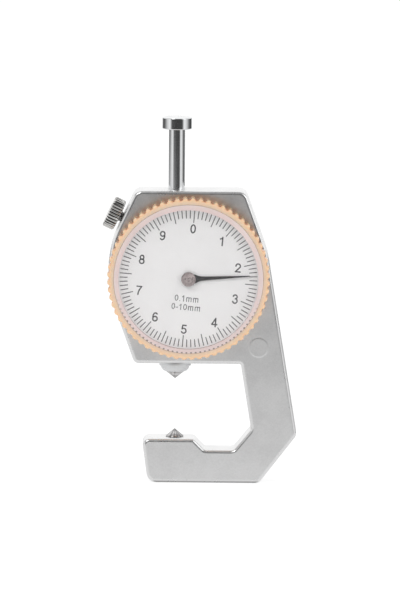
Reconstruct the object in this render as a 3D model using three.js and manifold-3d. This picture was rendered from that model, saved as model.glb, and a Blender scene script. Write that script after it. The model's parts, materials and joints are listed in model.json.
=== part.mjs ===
// Dial thickness gauge: a cast C-frame carries a spring-returned measuring spindle
// whose rack turns the pointer of a rotatable dial. All lengths are millimetres.
// X runs to the right of the dial, Y from the dial towards the back, Z up. The origin
// lies on the measuring axis, at the underside of the base.

import * as THREE from 'three';
import { mergeVertices } from 'three/addons/utils/BufferGeometryUtils.js';
import Module from 'manifold-3d';

const wasm = await Module();
wasm.setup();

// Counts and angles that are not lengths
const fullTurn = 2 * Math.PI;
const rightAngle = Math.PI / 2;
const degree = Math.PI / 180;

// Faceting of round forms
const fineSides = 48;
const mediumSides = 24;
const smallSides = 16;
const tinySides = 12;
const arcStep = 15 * degree;
const arcSagitta = 0.03;

// Fits between pieces
const seatGap = 0.05;
const runningGap = 0.1;
const overrun = 1;
const mergeDistance = 1e-5;

// Cast frame
const frameThickness = 9.5;
const frameEdgeRadius = 0.85;
const frameEdgeSteps = 2;
const jawTop = 10.76;
const topAboveDial = 21.1;
const dialAboveThroat = 21.24;
const topLeftReach = 9.8;
const topRightReach = 16.75;
const topCornerRadius = 2.4;
const shoulderReach = 22.35;
const shoulderAboveDial = 5.8;
const shoulderRadius = 20;
const heelReach = 29.7;
const heelHeight = 11.8;
const footRightReach = 20.6;
const heelRadius = 1.8;
const footLeftReach = 6.45;
const footRadius = 2.4;
const jawTipReach = 7.96;
const jawTipRadius = 1.6;
const jawShelfReach = 4.65;
const jawStep = 2.7;
const jawStepRadius = 1;
const throatFloorReach = 14.4;
const throatFloorRadius = 1.5;
const throatWallReach = 18.6;
const throatWallRise = 5.14;
const throatWallRadius = 1.2;
const throatTopReach = 15.96;
const throatTopRadius = 0.5;
const lowerLeftReach = 9.9;
const lowerLeftRadius = 1.5;
const cheekReach = 18.6;
const cheekAboveDial = 2.7;
const cheekRadius = 26;

// Measuring points
const openGap = 12.27;
const anvilRadius = 2.15;
const anvilLandHeight = 0.2;
const anvilConeHeight = 1.8;
const anvilShoulder = 0.95;
const anvilShankLength = 4;
const tipRadius = 2.25;
const tipHeight = 1.82;
const tipShoulder = 1.35;
const tipShankLength = 0.9;
const bowlFlare = 1.2;
const bowlHeight = 1.42;
const bowlSteps = 3;
const flangeOverhang = 0.4;
const flangeRimHeight = 0.8;
const stopGap = 0.1;

// Spindle
const rodRadius = 2;
const buttonClearance = 2.73;
const buttonOverhang = 1.65;
const buttonHeight = 2.45;
const buttonEdgeRadius = 0.35;
const buttonEdgeSteps = 2;
const stubShoulder = 0.7;
const upperStubLength = 1.6;
const lowerStubLength = 1;

// Rack and pinion: ten millimetres of spindle travel turn the pointer once
const dialTravel = 10;
const pinionTeeth = 16;
const pressureAngle = 20 * degree;
const rackInset = 0.51;
const addendumShare = 0.95;
const dedendumShare = 1.25;
const toothBacklash = 0.05;
const rackTeethBelow = 2;
const rackTeethAbove = 22;
const pinionWidth = 2;

// Guide bushes, bore, collar, guide pin and return spring
const bushWall = 0.85;
const upperBushLength = 6.2;
const lowerBushLength = 2.5;
const bushRecess = 0.1;
const collarMargin = 0.4;
const collarHeight = 1.6;
const collarBelowPinion = 0.5;
const guidePinRadius = 0.5;
const guidePinInsertion = 1.9;
const springWire = 0.36;
const springTurns = 6;
const springStepsPerTurn = 10;
const springSectionSides = 5;

// Movement behind the dial
const pocketRadius = 5.6;
const movementFloorDepth = 2.55;
const arborRadius = 0.75;
const arborShoulder = 0.45;
const rearPivotShoulder = 0.35;
const frontBearingWall = 0.65;
const rearBearingWall = 0.45;
const bridgeHalfWidth = 1.7;
const bridgeThickness = 0.8;
const bridgeScrewSpacing = 17.2;
const bridgeEndMargin = 1.7;
const bridgeRoundShare = 0.98;
const colletWall = 0.5;
const colletHeight = 0.45;
const hairSpringTurns = 3;
const hairSpringStepsPerTurn = 16;
const hairSpringInset = 0.2;
const hairSpringPitch = 0.5;
const hairSpringThickness = 0.1;
const studRadius = 0.3;

// Back cover and its screws
const coverRadius = 16.8;
const coverThickness = 0.95;
const coverScrewInset = 2.2;
const coverScrewAngle = 30 * degree;
const coverScrew = { headRadius: 1.5, headHeight: 0.7, shankRadius: 0.75, length: 3.6 };
const bridgeScrew = { headRadius: 1.2, headHeight: 0.5, shankRadius: 0.6, length: 2.8 };
const screwSlotWidth = 0.35;
const screwSlotDepth = 0.3;

// Dial boss, bezel, dial and crystal
const bossRadius = 16.6;
const bossHeight = 2.15;
const bezelTeeth = 64;
const bezelToothDepth = 0.5;
const bezelTipShare = 0.22;
const bezelRootShare = 0.3;
const bezelFootGap = 0.2;
const bezelHeight = 4.05;
const bezelChamfer = 0.6;
const bezelLipWall = 1;
const crystalLedge = 0.3;
const dialLedge = 1.15;
const dialThickness = 0.5;
const dialGap = 0.2;
const dialHoleClearance = 0.55;
const snapRingWidth = 1;
const snapRingHeight = 0.5;
const snapRingBelowBossFront = 0.65;
const snapRingOpening = 24 * degree;
const crystalStandOut = 0.95;
const crystalBevelWidth = 1.15;
const crystalThickness = 1.1;
const crystalRimWall = 1.15;
const crystalBevelDrop = 1;

// Pointer
const pointerAngle = 86.75 * degree;
const pointerLength = 14.9;
const pointerRootHalfWidth = 0.42;
const pointerTipHalfWidth = 0.1;
const pointerFlareLength = 1.6;
const pointerEyeWall = 0.8;
const pointerFlareAngle = 43 * degree;
const pointerThickness = 0.2;
const pointerAboveDial = 0.25;
const pointerCapWall = 0.95;
const pointerCapHeight = 0.55;
const pointerCapEdge = 0.15;
const pointerCapRoof = 0.25;

// Spindle clamp
const clampAlongSlant = 7.82;
const clampHeadGap = 0.7;
const clampHeadRadius = 3.9;
const clampHeadHeight = 2.85;
const clampHeadChamfer = 0.3;
const clampRidges = 28;
const clampRidgeDepth = 0.3;
const clampShankRadius = 1.2;
const clampHoleGap = 0.12;
const clampCountersink = 0.33;
const clampPadLength = 2.6;
const clampPadGap = 0.25;

// Radii that fit one piece to the next
const boreRadius = rodRadius + seatGap + bushWall;
const collarRadius = boreRadius - collarMargin;
const stubRadius = rodRadius - stubShoulder;
const buttonRadius = rodRadius + buttonOverhang;
const anvilShankRadius = anvilRadius - anvilShoulder;
const tipShankRadius = tipRadius - tipShoulder;
const bowlRadius = tipRadius + bowlFlare;
const flangeRadius = bowlRadius + flangeOverhang;
const arborCollarRadius = arborRadius + arborShoulder;
const rearPivotRadius = arborRadius - rearPivotShoulder;
const frontBearingRadius = arborRadius + runningGap + frontBearingWall;
const rearBearingRadius = rearPivotRadius + runningGap + rearBearingWall;
const colletRadius = arborRadius + seatGap + colletWall;
const hairSpringInnerRadius = colletRadius + hairSpringInset;
const hairSpringOuterRadius = hairSpringInnerRadius + hairSpringTurns * hairSpringPitch;
const pointerEyeRadius = arborRadius + seatGap + pointerEyeWall;
const pointerCapRadius = arborRadius + seatGap + pointerCapWall;
const clampHoleRadius = clampShankRadius + clampHoleGap;
const clampCountersinkRadius = clampHoleRadius + clampCountersink;
const clampPadRadius = clampShankRadius - seatGap;
const coverScrewCircle = coverRadius - coverScrewInset;
const bezelBoreRadius = bossRadius + 2 * runningGap;
const dialSeatRadius = bezelBoreRadius + dialLedge;
const dialRadius = dialSeatRadius - seatGap;
const dialHoleRadius = arborRadius + dialHoleClearance;
const bezelFrontLipRadius = dialSeatRadius + crystalLedge;
const bezelRootRadius = bezelFrontLipRadius + bezelLipWall;
const bezelTipRadius = bezelRootRadius + bezelToothDepth;
const crystalRadius = bezelFrontLipRadius - runningGap;
const crystalFlatRadius = crystalRadius - crystalBevelWidth;

// Heights that follow from the stack of the measuring points
const anvilApex = jawTop + anvilLandHeight + anvilConeHeight;
const tipApex = anvilApex + openGap;
const flangeTop = tipApex + tipHeight + bowlHeight + flangeRimHeight;
const throatTop = flangeTop + stopGap;
const dialHeight = throatTop + dialAboveThroat;
const frameTop = dialHeight + topAboveDial;
const buttonBottom = frameTop + openGap + buttonClearance;

// Places across the rack and pinion
const rackPitch = dialTravel / pinionTeeth;
const gearModule = rackPitch / Math.PI;
const pinionPitchRadius = dialTravel / fullTurn;
const rackPitchLine = rodRadius - rackInset;
const dialOffset = rackPitchLine + pinionPitchRadius;
const rackTipLine = rackPitchLine + gearModule * addendumShare;
const rackRootLine = rackPitchLine - gearModule * dedendumShare;
const pinionTipRadius = pinionPitchRadius + gearModule * addendumShare;
const pinionRootRadius = pinionPitchRadius - gearModule * dedendumShare;

// Depths from the front to the back; the dial looks towards -Y
const backFace = frameThickness / 2;
const frontFace = -frameThickness / 2;
const movementFloor = frontFace + movementFloorDepth;
const coverFloor = backFace - coverThickness - seatGap;
const bridgeBack = coverFloor - runningGap;
const bridgeFront = bridgeBack - bridgeThickness;
const bossFront = frontFace - bossHeight;
const dialBack = bossFront - dialGap;
const dialFront = dialBack - dialThickness;
const bezelBack = frontFace - bezelFootGap;
const bezelFront = bezelBack - bezelHeight;
const crystalFront = bezelFront - crystalStandOut;
const crystalBack = dialFront - seatGap;
const pointerBack = dialFront - pointerAboveDial;
const pointerFront = pointerBack - pointerThickness;

// Heights inside the bore
const lowerBushTop = throatTop + bushRecess + lowerBushLength;
const upperBushBottom = frameTop - bushRecess - upperBushLength;
const collarTop = dialHeight - pinionTipRadius - collarBelowPinion;
const collarBottom = collarTop - collarHeight;
const guidePinHeight = (collarTop + collarBottom) / 2;
const springRadius = (rodRadius + boreRadius - springWire) / 2 + runningGap;

// Materials
function material(color, roughness, metalness) {
  return new THREE.MeshStandardMaterial({ color, roughness, metalness });
}

const castMetal = material(0xb4b6b7, 0.55, 0.6);
const chrome = material(0xd3d5d8, 0.12, 1);
const nickel = material(0xb9bbbd, 0.25, 1);
const steel = material(0x8f9296, 0.3, 1);
const springSteel = material(0x6f7378, 0.35, 1);
const brass = material(0xc7a45c, 0.35, 1);
const bezelPlastic = material(0xe0c2a6, 0.3, 0);
const clearPlastic = new THREE.MeshStandardMaterial({
  color: 0xe6dcdc, roughness: 0.05, metalness: 0, transparent: true, opacity: 0.35,
});
const dialEnamel = material(0xe4e5e6, 0.6, 0);
const pointerBlack = material(0x1c1c1e, 0.5, 0.2);
const hubMetal = material(0x968a88, 0.35, 0.8);

// Closed solid from a geometry, with shared corners merged and slivers dropped
function solidOf(geometry) {
  const bare = geometry.clone();
  bare.deleteAttribute('normal');
  bare.deleteAttribute('uv');
  const merged = mergeVertices(bare, mergeDistance);
  const corners = merged.index.array;
  const kept = [];
  for (let i = 0; i < corners.length; i += 3) {
    const [a, b, c] = corners.slice(i, i + 3);
    if (a !== b && b !== c && c !== a) {
      kept.push(a, b, c);
    }
  }
  const vertProperties = merged.attributes.position.array;
  const triVerts = new Uint32Array(kept);
  return new wasm.Manifold(new wasm.Mesh({ numProp: 3, vertProperties, triVerts }));
}

function geometryOf(solid) {
  const mesh = solid.getMesh();
  const geometry = new THREE.BufferGeometry();
  geometry.setAttribute('position', new THREE.BufferAttribute(mesh.vertProperties, 3));
  geometry.setIndex(new THREE.BufferAttribute(mesh.triVerts, 1));
  geometry.computeVertexNormals();
  return geometry;
}

function join(...geometries) {
  const solids = geometries.map(solidOf);
  return geometryOf(solids.reduce((whole, next) => whole.add(next)));
}

function cut(geometry, ...tools) {
  const solids = tools.map(solidOf);
  return geometryOf(solids.reduce((whole, tool) => whole.subtract(tool), solidOf(geometry)));
}

function common(first, second) {
  return geometryOf(solidOf(first).intersect(solidOf(second)));
}

// Signed area of a profile; positive when it runs anticlockwise
function signedArea(points) {
  let area = 0;
  points.forEach(([x, y], i) => {
    const [nextX, nextY] = points[(i + 1) % points.length];
    area += (x * nextY - nextX * y) / 2;
  });
  return area;
}

// Turned form about Y from [radius, y] points; a profile off the axis closes on itself
function turned(profile, sides) {
  const ordered = signedArea(profile) < 0 ? [...profile].reverse() : [...profile];
  const points = ordered.map(([r, y]) => new THREE.Vector2(r, y));
  const startsOnAxis = ordered[0][0] === 0;
  const endsOnAxis = ordered[ordered.length - 1][0] === 0;
  if (!(startsOnAxis && endsOnAxis)) {
    points.push(points[0].clone());
  }
  return geometryOf(solidOf(new THREE.LatheGeometry(points, sides)));
}

// Turned form about Z from [radius, z] points
function turnedUpright(profile, sides) {
  return turned(profile, sides).rotateX(rightAngle);
}

// Round bar about Y between two depths, and about Z between two heights
function bar(radius, fromY, toY, sides) {
  return turned([[0, fromY], [radius, fromY], [radius, toY], [0, toY]], sides);
}

function uprightBar(radius, fromZ, toZ, sides) {
  return turnedUpright([[0, fromZ], [radius, fromZ], [radius, toZ], [0, toZ]], sides);
}

function ringAlongY(inner, outer, fromY, toY, sides) {
  return turned([[inner, fromY], [outer, fromY], [outer, toY], [inner, toY]], sides);
}

function uprightRing(inner, outer, fromZ, toZ, sides) {
  return turnedUpright([[inner, fromZ], [outer, fromZ], [outer, toZ], [inner, toZ]], sides);
}

// Closed outline through [x, z, radius] corners, each rounded by its own radius
function roundedOutline(corners) {
  const shape = new THREE.Shape();
  corners.forEach(([x, z, radius], i) => {
    const here = new THREE.Vector2(x, z);
    const before = new THREE.Vector2(...corners.at(i - 1));
    const after = new THREE.Vector2(...corners[(i + 1) % corners.length]);
    const inward = before.sub(here).normalize();
    const outward = after.sub(here).normalize();
    const halfAngle = Math.acos(inward.dot(outward)) / 2;
    const tangentLength = radius / Math.tan(halfAngle);
    const middle = inward.clone().add(outward).normalize();
    const centre = here.clone().addScaledVector(middle, radius / Math.sin(halfAngle));
    const start = here.clone().addScaledVector(inward, tangentLength).sub(centre);
    const sweep = Math.PI - 2 * halfAngle;
    const turnsLeft = inward.cross(outward) < 0;
    const chordAngle = 2 * Math.acos(Math.max(0, 1 - arcSagitta / radius));
    const steps = Math.max(1, Math.ceil(sweep / Math.min(arcStep, chordAngle)));
    for (let k = 0; k <= steps; k += 1) {
      const angle = (turnsLeft ? sweep : -sweep) * k / steps;
      const point = start.clone().rotateAround(new THREE.Vector2(), angle).add(centre);
      if (i === 0 && k === 0) {
        shape.moveTo(point.x, point.y);
      } else {
        shape.lineTo(point.x, point.y);
      }
    }
  });
  return shape;
}

// Slab of an XZ outline between two depths, with rounded edges front and back
function slab(shape, fromY, toY, edgeRadius = 0, edgeSteps = 1) {
  const geometry = new THREE.ExtrudeGeometry(shape, {
    depth: toY - fromY - 2 * edgeRadius,
    bevelEnabled: edgeRadius > 0,
    bevelThickness: edgeRadius,
    bevelSize: edgeRadius,
    bevelOffset: -edgeRadius,
    bevelSegments: edgeSteps,
  });
  geometry.rotateX(rightAngle);
  geometry.translate(0, toY - edgeRadius, 0);
  return geometry;
}

// Closed toothed outline from [radius, angle] points of one tooth
function toothedShape(count, toothPoints) {
  const shape = new THREE.Shape();
  for (let tooth = 0; tooth < count; tooth += 1) {
    toothPoints.forEach(([radius, angle], i) => {
      const turn = angle + fullTurn * tooth / count;
      const x = radius * Math.cos(turn);
      const y = radius * Math.sin(turn);
      if (tooth === 0 && i === 0) {
        shape.moveTo(x, y);
      } else {
        shape.lineTo(x, y);
      }
    });
  }
  return shape;
}

// Wire or strip wound about Z; the section holds [radial, upright] offsets
function wound({ turns, stepsPerTurn, startRadius, endRadius, startZ, endZ, section }) {
  const steps = turns * stepsPerTurn;
  const positions = [];
  const index = [];
  const sides = section.length;
  for (let step = 0; step <= steps; step += 1) {
    const share = step / steps;
    const angle = fullTurn * turns * share;
    const radius = startRadius + (endRadius - startRadius) * share;
    const z = startZ + (endZ - startZ) * share;
    section.forEach(([outward, up]) => {
      positions.push((radius + outward) * Math.cos(angle));
      positions.push((radius + outward) * Math.sin(angle));
      positions.push(z + up);
    });
  }
  for (let step = 0; step < steps; step += 1) {
    for (let side = 0; side < sides; side += 1) {
      const a = step * sides + side;
      const b = step * sides + (side + 1) % sides;
      index.push(a, b, a + sides, b, b + sides, a + sides);
    }
  }
  for (let side = 1; side < sides - 1; side += 1) {
    const last = steps * sides;
    index.push(0, side + 1, side);
    index.push(last, last + side, last + side + 1);
  }
  const geometry = new THREE.BufferGeometry();
  geometry.setAttribute('position', new THREE.Float32BufferAttribute(positions, 3));
  geometry.setIndex(index);
  geometry.computeVertexNormals();
  return geometry;
}

function roundSection(wireRadius, sides) {
  return Array.from({ length: sides }, (unused, i) => {
    const angle = -fullTurn * i / sides;
    return [wireRadius * Math.cos(angle), wireRadius * Math.sin(angle)];
  });
}

// Groups of pieces that stay or move together
const gauge = new THREE.Group();
const fixed = new THREE.Group();
const spindle = new THREE.Group();
const movement = new THREE.Group();
const pointer = new THREE.Group();
const bezel = new THREE.Group();
const clamp = new THREE.Group();
gauge.add(fixed, spindle, movement, pointer, bezel, clamp);

for (const group of [movement, pointer, bezel]) {
  group.position.set(dialOffset, 0, dialHeight);
}

function piece(group, name, look, geometry) {
  const mesh = new THREE.Mesh(geometry, look);
  mesh.name = name;
  group.add(mesh);
  return mesh;
}

function inDialPlace(geometry) {
  return geometry.translate(dialOffset, 0, dialHeight);
}

// The clamp's own Z runs inwards, square to the slanted upper left side of the frame
const slantStart = new THREE.Vector2(-topLeftReach, frameTop);
const slantEnd = new THREE.Vector2(-cheekReach, dialHeight + cheekAboveDial);
const slantRun = slantEnd.clone().sub(slantStart).normalize();
const clampFoot = slantStart.clone().addScaledVector(slantRun, clampAlongSlant);
const clampInward = new THREE.Vector2(-slantRun.y, slantRun.x);
clamp.position.set(clampFoot.x, 0, clampFoot.y);
clamp.rotation.y = Math.atan2(clampInward.x, clampInward.y);
clamp.updateMatrixWorld();
const clampToAxis = -clampFoot.x / clampInward.x;
const clampPadFront = clampToAxis - (rodRadius + clampPadGap) / clampInward.x;
const clampPadBack = clampPadFront - clampPadLength;

function inClampPlace(geometry) {
  return geometry.applyMatrix4(clamp.matrixWorld);
}

// Countersunk slotted screw about Y with its head flush at the given depth
function countersunkProfile(size, headY, gap) {
  return [
    [0, headY + gap * 2],
    [size.headRadius + gap, headY + gap * 2],
    [size.headRadius + gap, headY],
    [size.shankRadius + gap, headY - size.headHeight],
    [size.shankRadius + gap, headY - size.length - gap],
    [0, headY - size.length - gap],
  ];
}

function countersunkScrew(size, headY) {
  const blank = turned(countersunkProfile(size, headY, 0), smallSides);
  const slotWidth = 2 * size.headRadius + overrun;
  const slot = new THREE.BoxGeometry(slotWidth, screwSlotDepth + overrun, screwSlotWidth);
  slot.translate(0, headY - screwSlotDepth / 2 + overrun / 2, 0);
  return cut(blank, slot);
}

function countersunkHole(size, headY) {
  return turned(countersunkProfile(size, headY, seatGap), smallSides);
}

const coverScrewPlaces = [1, -1].flatMap((right) => [1, -1].map((up) => {
  const x = right * coverScrewCircle * Math.cos(coverScrewAngle);
  const z = up * coverScrewCircle * Math.sin(coverScrewAngle);
  return [x, z];
}));
const bridgeScrewPlaces = [-1, 1].map((right) => [right * bridgeScrewSpacing / 2, 0]);

// Bridge bar outline about the dial axis, grown by a gap for its seat in the frame
function bridgeOutline(gap) {
  const reach = bridgeScrewSpacing / 2 + bridgeEndMargin + gap;
  const half = bridgeHalfWidth + gap;
  const round = half * bridgeRoundShare;
  const corners = [[-reach, -half], [reach, -half], [reach, half], [-reach, half]];
  return roundedOutline(corners.map(([x, z]) => [x, z, round]));
}

// Cast frame
const frameCorners = [
  [-topLeftReach, frameTop, topCornerRadius],
  [topRightReach, frameTop, topCornerRadius],
  [shoulderReach, dialHeight + shoulderAboveDial, shoulderRadius],
  [heelReach, heelHeight, heelRadius],
  [footRightReach, 0, heelRadius],
  [-footLeftReach, 0, footRadius],
  [-jawTipReach, jawTop, jawTipRadius],
  [jawShelfReach, jawTop, jawStepRadius],
  [jawShelfReach + jawStep, jawTop - jawStep, jawStepRadius],
  [throatFloorReach, jawTop - jawStep, throatFloorRadius],
  [throatWallReach, jawTop - jawStep + throatWallRise, throatWallRadius],
  [throatTopReach, throatTop, throatTopRadius],
  [-lowerLeftReach, throatTop, lowerLeftRadius],
  [-cheekReach, dialHeight + cheekAboveDial, cheekRadius],
];

function frameBlank() {
  const outline = roundedOutline(frameCorners);
  const casting = slab(outline, frontFace, backFace, frameEdgeRadius, frameEdgeSteps);
  const boss = inDialPlace(bar(bossRadius, bossFront, frontFace + overrun, fineSides));
  return join(casting, boss);
}

function guideSlot() {
  const width = 2 * (guidePinRadius + runningGap);
  const bottom = guidePinHeight - openGap - guidePinRadius - runningGap;
  const top = collarTop + runningGap;
  const slot = new THREE.BoxGeometry(width, backFace, top - bottom);
  return slot.translate(0, coverFloor - backFace / 2 + seatGap, (top + bottom) / 2);
}

function frameCuts() {
  const snapBack = bossFront + snapRingBelowBossFront + seatGap;
  const snapFront = snapBack - snapRingHeight - 2 * seatGap;
  const snapInner = bossRadius - snapRingWidth / 2 - seatGap;
  const clampMouth = [
    [0, -clampHeadGap],
    [clampCountersinkRadius + clampHeadGap, -clampHeadGap],
    [clampHoleRadius, clampCountersinkRadius - clampHoleRadius],
    [clampHoleRadius, clampToAxis - rodRadius],
    [0, clampToAxis - rodRadius],
  ];
  const cuts = [
    uprightBar(boreRadius + seatGap, throatTop - overrun, frameTop + overrun, mediumSides),
    uprightBar(anvilShankRadius + seatGap, jawTop - anvilShankLength - seatGap,
      jawTop + overrun, smallSides),
    inDialPlace(bar(pocketRadius, movementFloor, coverFloor + seatGap, mediumSides)),
    inDialPlace(bar(coverRadius + runningGap, coverFloor, backFace + overrun, fineSides)),
    inDialPlace(bar(frontBearingRadius + seatGap, bossFront - overrun,
      movementFloor + overrun, smallSides)),
    inDialPlace(ringAlongY(snapInner, bossRadius + overrun, snapFront, snapBack, fineSides)),
    inDialPlace(slab(bridgeOutline(runningGap), bridgeFront, coverFloor + seatGap)),
    inClampPlace(turnedUpright(clampMouth, smallSides)),
    guideSlot(),
  ];
  for (const [x, z] of coverScrewPlaces) {
    cuts.push(inDialPlace(countersunkHole(coverScrew, backFace).translate(x, 0, z)));
  }
  for (const [x, z] of bridgeScrewPlaces) {
    cuts.push(inDialPlace(countersunkHole(bridgeScrew, bridgeBack).translate(x, 0, z)));
  }
  return cuts;
}

piece(fixed, 'frame', castMetal, cut(frameBlank(), ...frameCuts()));

// Back cover and its four screws
const coverBlank = bar(coverRadius, coverFloor + seatGap, backFace, fineSides);
const coverHoles = coverScrewPlaces.map(([x, z]) => (
  countersunkHole(coverScrew, backFace).translate(x, 0, z)));
piece(movement, 'back_cover', castMetal, cut(coverBlank, ...coverHoles));
coverScrewPlaces.forEach(([x, z], i) => {
  const screw = piece(movement, `cover_screw_${i + 1}`, nickel,
    countersunkScrew(coverScrew, backFace));
  screw.position.set(x, 0, z);
});

// Guide bushes in the bore
piece(fixed, 'upper_guide_bush', steel, uprightRing(rodRadius + seatGap, boreRadius,
  upperBushBottom, frameTop - bushRecess, mediumSides));
piece(fixed, 'lower_guide_bush', steel, uprightRing(rodRadius + seatGap, boreRadius,
  throatTop + bushRecess, lowerBushTop, mediumSides));

// Fixed measuring point, pressed into the jaw
piece(fixed, 'anvil_point', steel, turnedUpright([
  [0, jawTop - anvilShankLength],
  [anvilShankRadius, jawTop - anvilShankLength],
  [anvilShankRadius, jawTop + seatGap],
  [anvilRadius, jawTop + seatGap],
  [anvilRadius, jawTop + anvilLandHeight],
  [0, anvilApex],
], smallSides));

// Bearings, bridge and its screws
piece(movement, 'front_bearing', brass, ringAlongY(arborRadius + runningGap, frontBearingRadius,
  bossFront + seatGap, movementFloor, smallSides));
piece(movement, 'rear_bearing', brass, ringAlongY(rearPivotRadius + runningGap,
  rearBearingRadius, bridgeFront, bridgeBack, smallSides));

const studDistance = hairSpringOuterRadius + hairSpringThickness + studRadius + runningGap;
const bridgeBlank = slab(bridgeOutline(0), bridgeFront, bridgeBack);
const bridgeHoles = bridgeScrewPlaces.map(([x, z]) => (
  countersunkHole(bridgeScrew, bridgeBack).translate(x, 0, z)));
piece(movement, 'movement_bridge', brass, cut(
  bridgeBlank,
  ...bridgeHoles,
  bar(rearBearingRadius + seatGap, bridgeFront - overrun, bridgeBack + overrun, smallSides),
  bar(studRadius + seatGap, bridgeFront - overrun, bridgeBack + overrun, tinySides)
    .translate(studDistance, 0, 0),
));
bridgeScrewPlaces.forEach(([x, z], i) => {
  const screw = piece(movement, `bridge_screw_${i + 1}`, steel,
    countersunkScrew(bridgeScrew, bridgeBack));
  screw.position.set(x, 0, z);
});

// Hair spring that takes up the play between rack and pinion, with its stud
const hairSpringMiddle = (bridgeFront - runningGap) - colletHeight / 2;
const stripHalf = hairSpringThickness / 2;
const stripRise = colletHeight / 2;
const stripSection = [
  [-stripHalf, -stripRise], [-stripHalf, stripRise], [stripHalf, stripRise], [stripHalf, -stripRise],
];
const hairSpring = wound({
  turns: hairSpringTurns,
  stepsPerTurn: hairSpringStepsPerTurn,
  startRadius: hairSpringInnerRadius,
  endRadius: hairSpringOuterRadius,
  startZ: 0,
  endZ: 0,
  section: stripSection,
});
piece(movement, 'hair_spring', springSteel,
  hairSpring.rotateX(rightAngle).translate(0, hairSpringMiddle, 0));
piece(movement, 'hair_spring_stud', brass,
  bar(studRadius, hairSpringMiddle - stripRise, bridgeBack, tinySides)
    .translate(studDistance, 0, 0));

// Spring ring that holds the bezel on the dial boss
const snapBack = bossFront + snapRingBelowBossFront;
const snapRing = ringAlongY(bossRadius - snapRingWidth / 2, bossRadius + snapRingWidth / 2,
  snapBack - snapRingHeight, snapBack, fineSides);
const snapOpeningWidth = 2 * bossRadius * Math.sin(snapRingOpening / 2);
const snapOpening = new THREE.BoxGeometry(snapOpeningWidth, snapRingHeight + overrun,
  2 * snapRingWidth);
snapOpening.translate(0, snapBack - snapRingHeight / 2, -bossRadius);
piece(movement, 'bezel_snap_ring', springSteel, cut(snapRing, snapOpening));

// Return spring between the lower bush and the spindle's collar
const springSection = roundSection(springWire / 2, springSectionSides);
piece(fixed, 'return_spring', springSteel, wound({
  turns: springTurns,
  stepsPerTurn: springStepsPerTurn,
  startRadius: springRadius,
  endRadius: springRadius,
  startZ: lowerBushTop + springWire / 2 + seatGap,
  endZ: collarBottom - springWire / 2 - seatGap,
  section: springSection,
}));

// Rack profile along the rod: the region to the right of the toothed line
function rackCutter() {
  const halfSpace = rackPitch / 4 + toothBacklash / 2;
  const slope = Math.tan(pressureAngle);
  const tipHalf = halfSpace + (rackTipLine - rackPitchLine) * slope;
  const rootHalf = halfSpace - (rackPitchLine - rackRootLine) * slope;
  const shape = new THREE.Shape();
  const bottom = dialHeight - rackTeethBelow * rackPitch - rackPitch / 2;
  const top = dialHeight + rackTeethAbove * rackPitch + rackPitch / 2;
  const outside = rodRadius + overrun;
  shape.moveTo(outside, bottom);
  shape.lineTo(rackTipLine, bottom);
  for (let tooth = -rackTeethBelow; tooth <= rackTeethAbove; tooth += 1) {
    const middle = dialHeight + tooth * rackPitch;
    shape.lineTo(rackTipLine, middle - tipHalf);
    shape.lineTo(rackRootLine, middle - rootHalf);
    shape.lineTo(rackRootLine, middle + rootHalf);
    shape.lineTo(rackTipLine, middle + tipHalf);
  }
  shape.lineTo(rackTipLine, top);
  shape.lineTo(outside, top);
  return slab(shape, -rodRadius - overrun, rodRadius + overrun);
}

function guidePinBar(radius, fromY, toY) {
  return bar(radius, fromY, toY, tinySides).translate(0, 0, guidePinHeight);
}

const guidePinInner = rodRadius - guidePinInsertion;
const guidePinOuter = coverFloor - runningGap;
const rodBottom = flangeTop + seatGap;
const rodBlank = turnedUpright([
  [0, rodBottom - lowerStubLength],
  [stubRadius, rodBottom - lowerStubLength],
  [stubRadius, rodBottom],
  [rodRadius, rodBottom],
  [rodRadius, buttonBottom],
  [stubRadius, buttonBottom],
  [stubRadius, buttonBottom + upperStubLength],
  [0, buttonBottom + upperStubLength],
], mediumSides);
piece(spindle, 'spindle_rod', chrome, cut(rodBlank, rackCutter(),
  guidePinBar(guidePinRadius + seatGap, guidePinInner - seatGap, backFace)));

// Push button at the top of the spindle
const buttonTop = buttonBottom + seatGap + buttonHeight;
const buttonEdge = Array.from({ length: buttonEdgeSteps + 1 }, (unused, i) => {
  const angle = rightAngle * i / buttonEdgeSteps;
  const r = buttonRadius - buttonEdgeRadius + buttonEdgeRadius * Math.cos(angle);
  return [r, buttonTop - buttonEdgeRadius + buttonEdgeRadius * Math.sin(angle)];
});
piece(spindle, 'push_button', chrome, turnedUpright([
  [0, buttonBottom + upperStubLength + runningGap],
  [stubRadius + seatGap, buttonBottom + upperStubLength + runningGap],
  [stubRadius + seatGap, buttonBottom + seatGap],
  [buttonRadius - buttonEdgeRadius / 2, buttonBottom + seatGap],
  [buttonRadius, buttonBottom + seatGap + buttonEdgeRadius / 2],
  ...buttonEdge,
  [0, buttonTop],
], mediumSides));

// Contact flange, which stops the spindle against the frame, and its screwed-in tip
const bowlBottom = flangeTop - flangeRimHeight - bowlHeight;
const bowlCurve = Array.from({ length: bowlSteps + 1 }, (unused, i) => {
  const angle = rightAngle * i / bowlSteps;
  const r = tipRadius + (bowlRadius - tipRadius) * Math.cos(angle);
  return [r, bowlBottom + bowlHeight * (1 - Math.sin(angle))];
});
piece(spindle, 'contact_flange', steel, turnedUpright([
  [0, rodBottom - lowerStubLength - seatGap],
  [stubRadius + seatGap, rodBottom - lowerStubLength - seatGap],
  [stubRadius + seatGap, flangeTop],
  [flangeRadius, flangeTop],
  [flangeRadius, flangeTop - flangeRimHeight],
  ...bowlCurve,
  [tipShankRadius + seatGap, bowlBottom],
  [tipShankRadius + seatGap, bowlBottom + tipShankLength + seatGap],
  [0, bowlBottom + tipShankLength + seatGap],
], mediumSides));
piece(spindle, 'contact_tip', steel, turnedUpright([
  [0, tipApex],
  [tipRadius, tipApex + tipHeight - seatGap],
  [tipShankRadius, tipApex + tipHeight - seatGap],
  [tipShankRadius, bowlBottom + tipShankLength],
  [0, bowlBottom + tipShankLength],
], mediumSides));

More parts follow.
